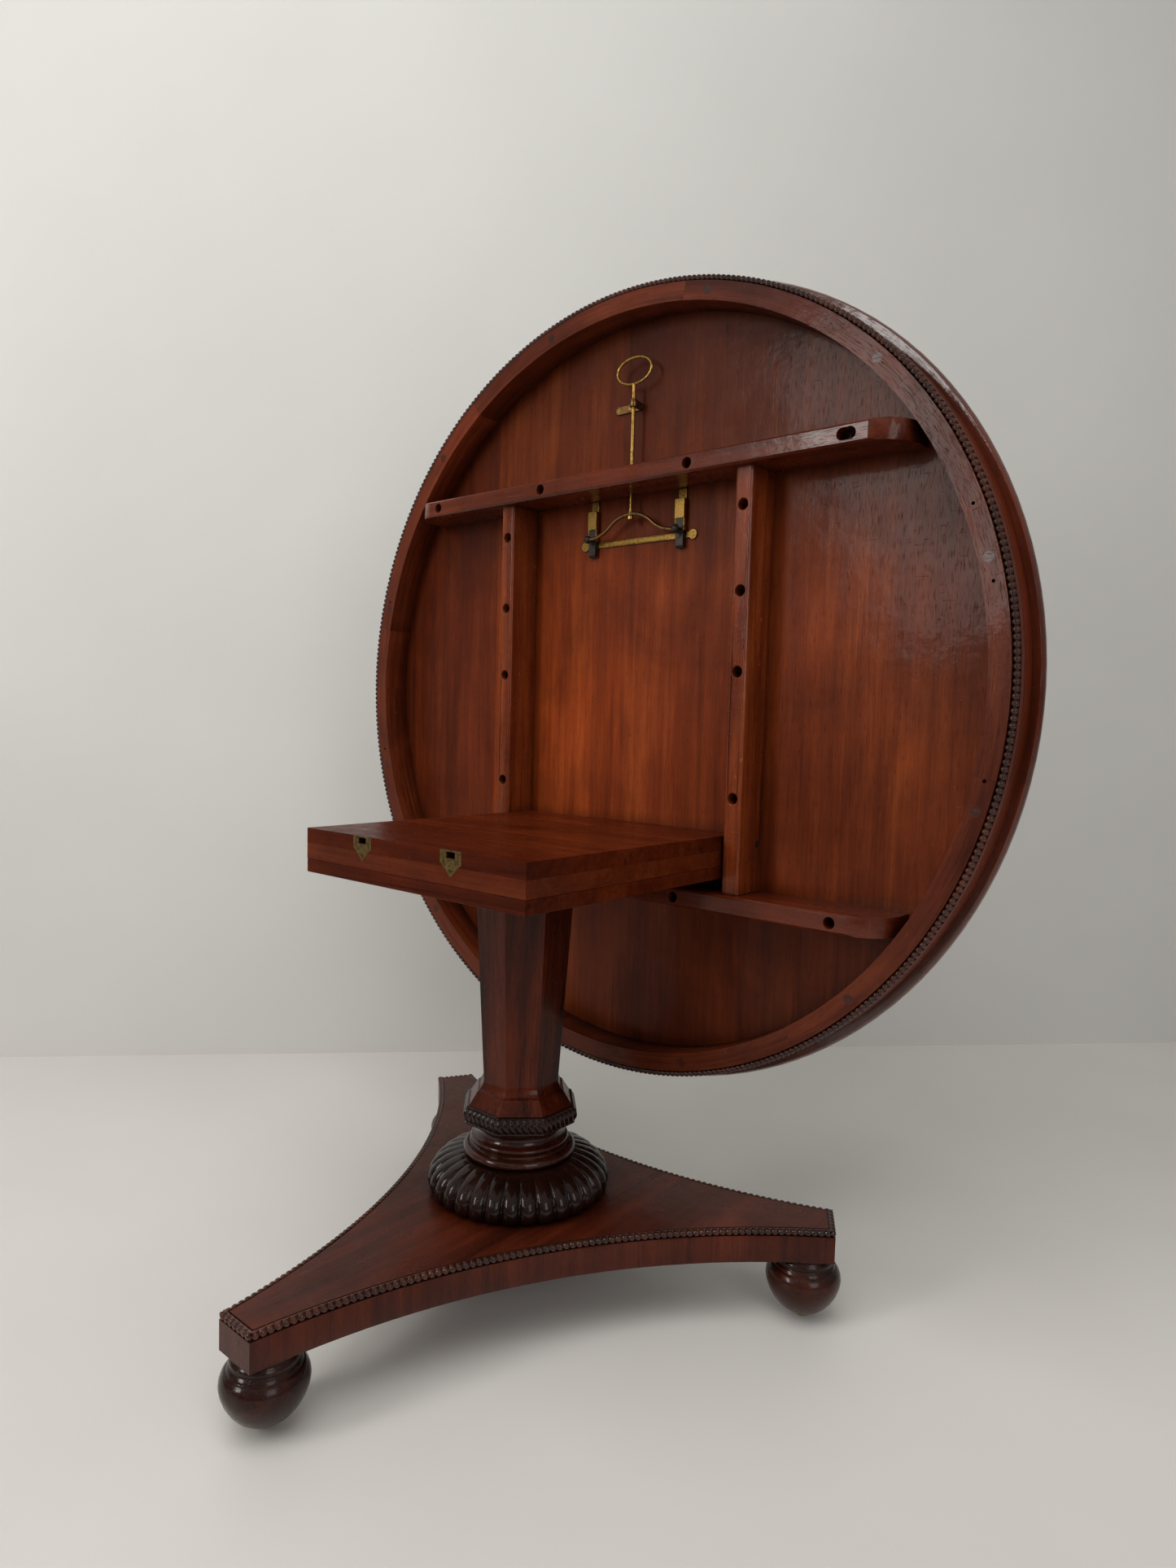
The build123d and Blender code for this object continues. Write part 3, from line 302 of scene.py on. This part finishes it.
def make_metal(name, clean, tarnish, roughness, tarnish_share, metallic=1.0):
    """Old metal: bright where rubbed, dull and dark where tarnished, finely scratched."""
    graph = Graph(name)
    place = graph.node("TexCoord").outputs["Object"]
    patch = graph.noise(place, 160.0, 5, 0.68, 0.2)
    fine = graph.noise(place, 900.0, 3, 0.6)
    mask = graph.range(patch, 0.62 - tarnish_share * 0.3, 0.78 - tarnish_share * 0.2)
    colour = graph.mix(mask, (*clean, 1), (*tarnish, 1))
    speck = graph.range(fine, 0.35, 0.7, 0.8, 1.12)
    colour = graph.shaded(colour, speck)
    # painted shade: the metal is darkened where nearby surfaces close in
    occlusion_shade = graph.node("AmbientOcclusion", {"Distance": 0.006}, samples=4)
    painted_shade_mask = graph.range(occlusion_shade.outputs["AO"], 0.3, 0.9, 0.35, 1.0)
    colour = graph.shaded(colour, painted_shade_mask)
    rough = graph.math("ADD", graph.math("MULTIPLY", mask, 0.25),
                       graph.range(fine, 0.3, 0.7, roughness - 0.06, roughness + 0.08))
    scratch = graph.noise(graph.scaled(place, 300, 300, 2600), 1.0, 2, 0.5)
    bump = graph.node("Bump", {"Strength": 0.15, "Distance": 0.0001,
                               "Height": graph.math("ADD", scratch, patch)})
    surface = graph.surface
    graph.put(surface.inputs["Base Color"], colour)
    graph.put(surface.inputs["Metallic"], metallic)
    graph.put(surface.inputs["Roughness"], rough)
    graph.put(surface.inputs["Normal"], bump.outputs[0])
    return graph.material


# =====================================================================
# Materials
# =====================================================================
def underside_light_and_shade(graph, place):
    """Painted light: a lighter orange middle, painted shade towards the frieze, painted shadow
    and grime near the top.
    """
    spot = graph.split(place)
    up = graph.math("SUBTRACT", spot[2], TOP_CENTRE.z - 0.05)
    across = graph.math("ADD", spot[0], 0.08)
    far = graph.math("SQRT", graph.math("ADD", graph.math("MULTIPLY", across, across),
                                        graph.math("MULTIPLY", up, up)))
    # painted pool of light in the middle, fading to painted shade towards the frieze
    middle = graph.range(far, 0.05, 0.58, 1.35, 0.66)
    # darker towards the top: painted shadow together with grime
    above = graph.range(graph.math("ADD", spot[2], graph.math("MULTIPLY", spot[0], 0.25)),
                        1.10, 1.34, 1.0, 0.72)
    return graph.math("MULTIPLY", middle, above)


def segment_tone(graph, place):
    """Each segment of the rim is cut from a slightly lighter or darker piece."""
    spot = graph.split(place)
    up = graph.math("SUBTRACT", spot[2], TOP_CENTRE.z)
    _, index = rim_segment(graph, spot[0], up)
    pick = graph.node("TexWhiteNoise", {"W": index}, noise_dimensions="1D").outputs["Value"]
    return graph.range(pick, 0.0, 1.0, 0.78, 1.3)


DEEP = (0.038, 0.0055, 0.0018)
RED = (0.095, 0.0150, 0.0045)
WARM = (0.165, 0.0310, 0.0085)

PANEL_SHADES = (0.82, 1.10, 0.90, 1.12)
panel_woods = []
# each board has its own tone; the underside's painted light and shade is laid over all four
for number, shade in enumerate(PANEL_SHADES, 1):
    panel_woods.append(make_wood(
        "panel_wood_" + str(number), grain_along,
        (0.070 * shade, 0.0100 * shade, 0.0020), (0.150 * shade, 0.0250 * shade, 0.0048),
        (0.250 * shade, 0.0500 * shade, 0.0090), streaks=0.18, figure=9.0, roughness=0.40,
        coat=0.07, sheen=0.10, contrast=0.85, tone=underside_light_and_shade, axis="Z",
        seed=0.3 + 1.7 * number))
show_wood = make_wood("show_wood", grain_along, DEEP, RED, WARM, streaks=0.8, figure=5.0,
                      roughness=0.14, coat=0.5, axis="X", seed=1.7)
rim_wood = make_wood("rim_wood", grain_round_top, DEEP, (0.105, 0.017, 0.005),
                     (0.18, 0.034, 0.009), streaks=0.6, roughness=0.18, coat=0.6, wear=0.3,
                     seed=0.61)
frieze_wood = make_wood("frieze_wood", grain_round_top, (0.040, 0.0065, 0.0022),
                        (0.092, 0.0160, 0.0050), (0.165, 0.0340, 0.0100), streaks=0.6,
                        roughness=0.34, coat=0.10, sheen=0.11, wear=0.6, tone=segment_tone,
                        seed=0.93)
veneer_wood = make_wood("veneer_wood", grain_round_top, (0.050, 0.0070, 0.0018),
                        (0.112, 0.0160, 0.0036), (0.170, 0.0280, 0.0062), streaks=0.6,
                        roughness=0.32, coat=0.12, sheen=0.12, wear=0.2, seed=0.37)
pellet_wood = make_wood("pellet_wood", grain_along, (0.02, 0.004, 0.002),
                        (0.040, 0.0075, 0.003), (0.070, 0.013, 0.005), roughness=0.35, coat=0.2,
                        axis="X", seed=4.2)
bearer_wood = make_wood("bearer_wood", grain_along, DEEP, (0.140, 0.0240, 0.0058),
                        (0.270, 0.0580, 0.0125), streaks=0.3, roughness=0.28, coat=0.30,
                        sheen=0.15, wear=0.7, axis="Z", seed=2.4)
batten_wood = make_wood("batten_wood", grain_along, DEEP, (0.095, 0.0155, 0.0045),
                        (0.160, 0.0310, 0.0085), streaks=0.4, roughness=0.28, coat=0.30,
                        sheen=0.15, wear=0.6, axis="X", seed=5.1)
block_wood = make_wood("block_wood", grain_along, (0.030, 0.0045, 0.0016),
                       (0.068, 0.0100, 0.0026), (0.110, 0.0190, 0.0048), streaks=0.5,
                       roughness=0.30, coat=0.03, sheen=0.04, wear=0.4, axis="X", seed=3.3)
block_core = make_wood("block_core", grain_along, (0.050, 0.0080, 0.0024),
                       (0.088, 0.0145, 0.0038), (0.130, 0.0250, 0.0060), streaks=0.4,
                       roughness=0.32, coat=0.04, sheen=0.07, axis="X", seed=6.4)
column_wood = make_wood("column_wood", grain_round_column, (0.012, 0.0028, 0.0014),
                        (0.048, 0.0074, 0.0022), (0.110, 0.0180, 0.0046), streaks=0.9,
                        figure=12.0, roughness=0.18, coat=0.15, sheen=0.09, seed=0.83)
neck_wood = make_wood("neck_wood", grain_along, (0.014, 0.0030, 0.0014),
                      (0.034, 0.0058, 0.0020), (0.075, 0.0130, 0.0038), streaks=0.4,
                      roughness=0.14, coat=0.4, sheen=0.14, axis="X", seed=7.7)
carved_wood = make_wood("carved_wood", grain_along, (0.006, 0.0022, 0.0014),
                        (0.013, 0.0040, 0.0022), (0.030, 0.0075, 0.0034), streaks=0.2,
                        roughness=0.10, coat=0.32, sheen=0.12, wear=0.12, axis="Z", seed=8.8)
moulding_wood = make_wood("moulding_wood", grain_along, (0.014, 0.0038, 0.0020),
                          (0.034, 0.0080, 0.0036), (0.075, 0.0165, 0.0062), streaks=0.2,
                          roughness=0.18, coat=0.5, sheen=0.15, wear=0.35, axis="Z", seed=12.8)
plinth_wood = make_wood("plinth_wood", grain_of_veneered_board, (0.026, 0.0046, 0.0018),
                        (0.064, 0.0105, 0.0036), (0.105, 0.0190, 0.0058), streaks=0.5,
                        roughness=0.30, coat=0.14, sheen=0.13, wear=0.2, contrast=1.0,
                        flat_axis="Y", seed=9.5)
foot_wood = make_wood("foot_wood", grain_along, (0.012, 0.0028, 0.0014),
                      (0.023, 0.0043, 0.0017), (0.048, 0.0088, 0.0029), streaks=0.6,
                      roughness=0.20, coat=0.25, sheen=0.15, wear=0.2, contrast=1.2, axis="X",
                      seed=11.0)
brass = make_metal("aged_brass", (0.46, 0.27, 0.065), (0.14, 0.080, 0.025), 0.28, 0.45)
dull_brass = make_metal("dull_brass", (0.20, 0.13, 0.045), (0.06, 0.04, 0.02), 0.42, 0.6)
bronze = make_metal("dark_bronze", (0.24, 0.13, 0.05), (0.07, 0.04, 0.02), 0.34, 0.5)
wheel_brass = make_metal("wheel_brass", (0.30, 0.20, 0.08), (0.07, 0.05, 0.03), 0.4, 0.6)
iron = make_metal("dark_iron", (0.055, 0.045, 0.040), (0.025, 0.018, 0.014), 0.42, 0.5, 0.8)
steel = make_metal("screw_steel", (0.26, 0.24, 0.22), (0.07, 0.045, 0.03), 0.4, 0.6)

NODE_LOOKS = {
    panel_woods[0]: ["top_board_1"],
    panel_woods[1]: ["top_board_2"],
    panel_woods[2]: ["top_board_3"],
    panel_woods[3]: ["top_board_4"],
    show_wood: ["top_veneer"],
    rim_wood: ["edge_lipping"],
    frieze_wood: ["frieze_ring"],
    pellet_wood: ["frieze_pellets"],
    bearer_wood: ["left_bearer", "right_bearer"],
    batten_wood: ["upper_batten", "lower_batten"],
    block_wood: ["block_top_board", "block_bottom_board"],
    block_core: ["block_middle_board"],
    column_wood: ["column_shaft"],
    neck_wood: ["column_neck", "tenon_wedge"],
    plinth_wood: ["plinth"],
    brass: ["latch_plate", "left_latch_case", "right_latch_case", "latch_screws",
            "rod_nut", "pull_rod", "pull_ring", "castor_cups", "front_castor_horn",
            "right_castor_horn", "left_castor_horn"],
    dull_brass: ["left_strike", "right_strike", "strike_screws"],
    bronze: ["yoke", "rod_keeper"],
    wheel_brass: ["front_castor_wheel", "right_castor_wheel", "left_castor_wheel"],
    iron: ["left_latch_bolt", "right_latch_bolt", "yoke_knobs", "pivot_pins",
           "pivot_washers"],
    steel: ["bearer_screws", "batten_screws", "bolt_springs", "front_castor_axle",
            "right_castor_axle", "left_castor_axle"],
}


def dress(obj, material):
    obj.data.materials.clear()
    obj.data.materials.append(material)


# softened edges: the width of the rounding for the nodes that show sharp edges
EASED_EDGES = {
    1.2 * MM: ["left_bearer", "right_bearer", "upper_batten", "lower_batten",
               "block_top_board", "block_middle_board", "block_bottom_board",
               "column_shaft", "plinth"],
    0.6 * MM: ["frieze_ring", "latch_plate", "rod_keeper", "left_strike", "right_strike",
               "left_latch_case", "right_latch_case", "left_latch_bolt",
               "right_latch_bolt", "top_board_1", "top_board_2", "top_board_3",
               "top_board_4"],
}


def ease_edges(obj, width):
    """Joins the split faces of a CAD node and rounds its sharp edges a little."""
    weld = obj.modifiers.new("weld", "WELD")
    weld.merge_threshold = 0.00002
    bevel = obj.modifiers.new("ease", "BEVEL")
    bevel.width = width
    bevel.segments = 2
    bevel.limit_method = "ANGLE"
    bevel.angle_limit = math.radians(32)
    bevel.harden_normals = True


for material, names in NODE_LOOKS.items():
    for name in names:
        dress(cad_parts[name], material)
for width, names in EASED_EDGES.items():
    for name in names:
        ease_edges(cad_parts[name], width)


# =====================================================================
# Carved and moulded pieces
# =====================================================================
def spot_on_top(turn, radius, depth):
    """A point in the row frame from polar coordinates on the tilted top's underside."""
    return Vector((radius * math.cos(turn), TOP_CENTRE.y - depth,
                   TOP_CENTRE.z + radius * math.sin(turn)))


def build_frieze_bead():
    """A string of turned beads let into the frieze's lower outer corner."""
    beads = 436
    per_bead = 10
    section = 14
    half = BEAD_SIZE / 2
    rows = []
    for i in range(beads * per_bead):
        turn = math.tau * i / (beads * per_bead)
        swell = lobe(i / per_bead, 0.55)
        row = []
        for j in range(section):
            angle = math.tau * j / section
            out, down = math.cos(angle), math.sin(angle)
            facing = max(out, 0) + max(down, 0)
            square = max(abs(out), abs(down)) ** 0.6
            size = half / square
            if facing > 0:
                size = half * (0.34 + 0.76 * swell)
            row.append(spot_on_top(turn, BOARD_RADIUS - half + size * out,
                                   FRIEZE_DEPTH - half + size * down))
        rows.append(row)
    return grid_mesh("frieze_bead_carved", rows)


def build_frieze_veneer():
    """The veneered band round the frieze, with a fine line scratched round it."""
    outer = BOARD_RADIUS
    inner = outer - FRIEZE_VENEER
    low = FRIEZE_DEPTH - BEAD_SIZE
    line = 30 * MM
    profile = [(inner, 0.0002), (outer, 0.0002), (outer, line - 0.9 * MM),
               (outer - 0.9 * MM, line - 0.5 * MM), (outer - 0.9 * MM, line + 0.5 * MM),
               (outer, line + 0.9 * MM), (outer, low), (inner, low)]
    rows = []
    steps = 360
    for i in range(steps):
        turn = math.tau * i / steps
        rows.append([spot_on_top(turn, radius, depth) for radius, depth in profile])
    return grid_mesh("frieze_veneer_band", rows, smooth=False)


def build_bun():
    """The gadrooned bun: plump lobes that run out and down from under the neck."""
    lobes = 32
    per_lobe = 14
    profile = [(80, 203.0, 1.2), (90, 202.2, 3.6), (101, 199.5, 5.6), (113, 195.0, 7.0),
               (124, 188.0, 8.4), (132, 179.5, 9.4), (136.6, 170.0, 10.0),
               (137.6, 161.5, 9.8), (135.8, 153.8, 8.2), (131, 148.6, 4.6),
               (125.5, 146.2, 1.4), (121, 145.6, 0.0)]
    rows = []
    for i in range(lobes * per_lobe):
        turn = math.tau * i / (lobes * per_lobe)
        crest = lobe(i / per_lobe, 0.5)
        row = [Vector((TENON_RADIUS * math.cos(turn), TENON_RADIUS * math.sin(turn),
                       BUN_TOP))]
        for radius, height, depth in profile:
            size = (radius - depth * (1 - crest)) * MM
            row.append(Vector((size * math.cos(turn), size * math.sin(turn), height * MM)))
        row.append(Vector((TENON_RADIUS * math.cos(turn), TENON_RADIUS * math.sin(turn),
                           PLINTH_TOP + 0.0001)))
        rows.append(row)
    return grid_mesh("gadrooned_bun_carved", rows)


def plinth_path(inset, spacing):
    """Points and outward directions along the plinth's outline, set in from it."""
    points = []
    third = math.radians(120)
    for start in ARM_ANGLES:
        along = Vector((math.cos(start), math.sin(start)))
        across = Vector((-along.y, along.x))
        left = along * PLINTH_REACH + across * ARM_HALF_WIDTH
        right = along * PLINTH_REACH - across * ARM_HALF_WIDTH
        next_along = Vector((math.cos(start + third), math.sin(start + third)))
        next_across = Vector((-next_along.y, next_along.x))
        next_right = next_along * PLINTH_REACH - next_across * ARM_HALF_WIDTH
        half_turn = start + third / 2
        waist = Vector((math.cos(half_turn), math.sin(half_turn))) * SIDE_WAIST
        chord = (next_right - left).length / 2
        middle = (left + next_right) / 2
        sag = (middle - waist).length
        radius = (chord * chord + sag * sag) / (2 * sag)
        centre = waist + Vector((math.cos(half_turn), math.sin(half_turn))) * radius
        first = math.atan2(left.y - centre.y, left.x - centre.x)
        last = math.atan2(next_right.y - centre.y, next_right.x - centre.x)
        sweep = (last - first + math.pi) % math.tau - math.pi
        end_steps = max(int((left - right).length / spacing), 2)
        for i in range(end_steps):
            point = right + (left - right) * i / end_steps
            points.append((point - along * inset, along))
        arc_steps = int(radius * abs(sweep) / spacing)
        for i in range(arc_steps):
            angle = first + sweep * i / arc_steps
            spoke = Vector((math.cos(angle), math.sin(angle)))
            points.append((centre + spoke * (radius + inset), -spoke))
    return points


def build_plinth_moulding():
    """Nulled moulding let into the plinth's top edge, small upright lobes side by side."""
    size = 9 * MM
    half = size / 2
    pitch = 9.4 * MM
    path = plinth_path(half, pitch / 8)
    length = closed_path_length([p for p, _ in path])
    lobes = round(length / pitch)
    rows = []
    travelled = 0.0
    section = 14
    for i, (point, out_way) in enumerate(path):
        if i:
            travelled += (point - path[i - 1][0]).length
        swell = lobe(travelled / length * lobes, 0.45)
        row = []
        for j in range(section):
            angle = math.tau * j / section
            out, up = math.cos(angle), math.sin(angle)
            square = max(abs(out), abs(up)) ** 0.7
            reach = half / square
            if out > -0.1 and up > -0.8:
                reach = half * (0.36 + 0.86 * swell)
            spot = point + out_way * out * reach
            row.append(Vector((spot.x, spot.y, PLINTH_TOP - half + up * reach)))
        rows.append(row)
    return grid_mesh("plinth_moulding_carved", rows)


def build_collar():
    """Octagonal collar under the shaft, carved with small slanting nulls."""
    lobes = 56
    per_lobe = 12
    steps = lobes * per_lobe
    profile = [(76.0, 281.9, 0), (79.0, 281.6, 0), (80.6, 280.2, 0), (80.2, 278.6, 0),
               (82.4, 277.0, 2.2), (84.4, 273.0, 4.0), (84.8, 268.0, 4.6),
               (84.0, 263.0, 4.0), (82.2, 259.6, 2.0), (80.8, 258.2, 0), (81.6, 256.8, 0),
               (80.6, 255.2, 0)]
    rows = []
    for i in range(steps):
        turn = math.tau * (i + 0.5) / steps
        facet = (turn + math.pi / 8) % (math.pi / 4) - math.pi / 8
        row = [Vector((TENON_RADIUS * math.cos(turn), TENON_RADIUS * math.sin(turn),
                       COLLAR_TOP - 0.0001))]
        for apothem, height, depth in profile:
            slant = (height - 268) * 0.045
            swell = lobe(i / per_lobe + slant, 0.55)
            size = (apothem - depth * (1 - swell)) * MM / math.cos(facet)
            row.append(Vector((size * math.cos(turn), size * math.sin(turn), height * MM)))
        row.append(Vector((TENON_RADIUS * math.cos(turn), TENON_RADIUS * math.sin(turn),
                           COLLAR_BOTTOM + 0.0001)))
        rows.append(row)
    return grid_mesh("column_collar_carved", rows)


def build_foot(angle):
    """A full turned bun foot with a quirk, a ring and a short neck."""
    profile = [(14.3, 9.0), (20.0, 10.8), (28.0, 15.2), (36.5, 22.2), (43.5, 30.8),
               (49.0, 40.5), (52.6, 51.0), (53.8, 59.0), (53.0, 66.0), (50.6, 72.4),
               (47.4, 76.6), (46.0, 77.8), (45.0, 78.0), (44.6, 79.0), (43.6, 81.0),
               (41.6, 83.2), (40.8, 84.0), (41.2, 85.4), (42.2, 88.0), (41.6, 91.0),
               (39.6, 93.0), (38.6, 94.6), (38.0, 98.2)]
    centre = Vector((math.cos(angle), math.sin(angle), 0)) * FOOT_REACH
    steps = 96
    rows = []
    for i in range(steps):
        turn = math.tau * i / steps
        spoke = Vector((math.cos(turn), math.sin(turn), 0))
        rows.append([centre + spoke * radius * MM + Vector((0, 0, height * MM))
                     for radius, height in profile])
    return grid_mesh("turned_foot", rows, close_rows=False)


CARVED = (
    (build_frieze_bead, "frieze_bead", "top", moulding_wood),
    (build_frieze_veneer, "frieze_veneer", "top", veneer_wood),
    (build_bun, "gadrooned_bun", "stand", carved_wood),
    (build_plinth_moulding, "plinth_moulding", "stand", moulding_wood),
    (build_collar, "column_collar", "stand", carved_wood),
)
for build, node, body, material in CARVED:
    piece = build()
    dress(piece, material)
    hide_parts(node)
    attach(piece, body)

for foot_name, angle in zip(("front", "right", "left"), ARM_ANGLES):
    foot = build_foot(angle)
    foot.name = foot_name + "_foot_turned"
    dress(foot, foot_wood)
    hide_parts(foot_name + "_foot")
    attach(foot, "stand")


# =====================================================================
# Stage, light and camera
# =====================================================================
def build_stage():
    """A plain pale floor and wall, clear when looked at from behind the wall."""
    wall_distance = 1.015
    wall_height = 5.0
    wall_turn = math.radians(46.95)
    reach_forward = 5.0
    half_width = 9.0
    profile = [(-reach_forward, 0.0), (wall_distance, 0.0), (wall_distance, wall_height)]
    rows = [[Vector((side * half_width, y, z)) for y, z in profile] for side in (1, -1)]
    floor = grid_mesh("stage_floor", rows, close_rows=False, close_loop=False, smooth=False)
    floor.rotation_euler = (0, 0, wall_turn)
    graph = Graph("stage_grey")
    place = graph.node("TexCoord").outputs["Object"]
    cloud = graph.noise(place, 1.4, 3, 0.5)
    height = graph.range(graph.split(place)[2], 0.0, 0.02)
    floor_grey = graph.ramp(cloud, [(0.3, (0.60, 0.585, 0.56)), (0.7, (0.65, 0.635, 0.61))])
    wall_grey = graph.ramp(cloud, [(0.3, (0.60, 0.595, 0.575)), (0.7, (0.64, 0.635, 0.615))])
    colour = graph.mix(height, floor_grey, wall_grey)
    graph.put(graph.surface.inputs["Base Color"], colour)
    graph.put(graph.surface.inputs["Roughness"], 0.45)
    facing = graph.node("NewGeometry").outputs["Backfacing"]
    clear = graph.node("BsdfTransparent").outputs[0]
    sheet = graph.node("MixShader", {0: facing, 1: graph.surface.outputs[0], 2: clear})
    graph.put(graph.output.inputs["Surface"], sheet.outputs[0])
    dress(floor, graph.material)


def add_softbox(name, place, aim, size, power, colour, seen_in_gloss=True, lean=0.0):
    data = bpy.data.lights.new(name, "AREA")
    data.shape = "RECTANGLE"
    data.size = size[0]
    data.size_y = size[1]
    data.energy = power
    data.color = colour
    light = bpy.data.objects.new(name, data)
    light.location = place
    way = Vector(aim) - Vector(place)
    aimed = way.to_track_quat("-Z", "Y").to_matrix() @ Matrix.Rotation(lean, 3, "Z")
    light.rotation_euler = aimed.to_euler()
    light.visible_glossy = seen_in_gloss
    bpy.context.scene.collection.objects.link(light)


build_stage()
add_softbox("front_window", (-1.05, -3.3, 2.1), (0.1, 0.2, 0.8), (0.7, 1.7), 44,
            (1.0, 0.97, 0.93), lean=math.radians(25))
add_softbox("ceiling", (0.4, -1.3, 3.4), (0.2, 0.3, 0.5), (3.6, 2.6), 70,
            (1.0, 0.99, 0.97), seen_in_gloss=False)
add_softbox("right_fill", (3.6, -1.4, 1.9), (0.0, 0.2, 0.7), (1.6, 2.0), 26,
            (1.0, 0.98, 0.95))


def build_world():
    """Even pale surroundings, brighter overhead than at eye level."""
    world = bpy.data.worlds.new("studio")
    world.use_nodes = True
    tree = world.node_tree
    background = tree.nodes["Background"]
    coords = tree.nodes.new("ShaderNodeTexCoord")
    split = tree.nodes.new("ShaderNodeSeparateXYZ")
    height = tree.nodes.new("ShaderNodeMapRange")
    height.inputs["From Min"].default_value = -0.1
    height.inputs["From Max"].default_value = 0.9
    height.inputs["To Min"].default_value = 0.08
    height.inputs["To Max"].default_value = 0.50
    background.inputs["Color"].default_value = (1.0, 0.975, 0.94, 1)
    tree.links.new(coords.outputs["Generated"], split.inputs[0])
    tree.links.new(split.outputs[2], height.inputs["Value"])
    tree.links.new(height.outputs[0], background.inputs["Strength"])
    return world


world = build_world()
bpy.context.scene.world = world
bpy.context.scene.view_settings.view_transform = "Standard"

CAMERA_PLACE = Vector((1.0035, -1.0404, 0.8576))
CAMERA_TURN = 40.38
CAMERA_TILT = -3.76
CAMERA_ROLL = 1.52
CAMERA_LENS = 29.66
camera_data = bpy.data.cameras.new("camera")
camera_data.sensor_fit = "HORIZONTAL"
camera_data.sensor_width = 36.0
camera_data.lens = CAMERA_LENS
camera_data.clip_start = 0.05
camera = bpy.data.objects.new("camera", camera_data)
turn = Euler((math.radians(90 + CAMERA_TILT), 0, math.radians(CAMERA_TURN))).to_matrix()
roll = Matrix.Rotation(math.radians(CAMERA_ROLL), 3, "Z")
camera.matrix_world = Matrix.Translation(CAMERA_PLACE) @ (turn @ roll).to_4x4()
bpy.context.scene.collection.objects.link(camera)
bpy.context.scene.camera = camera
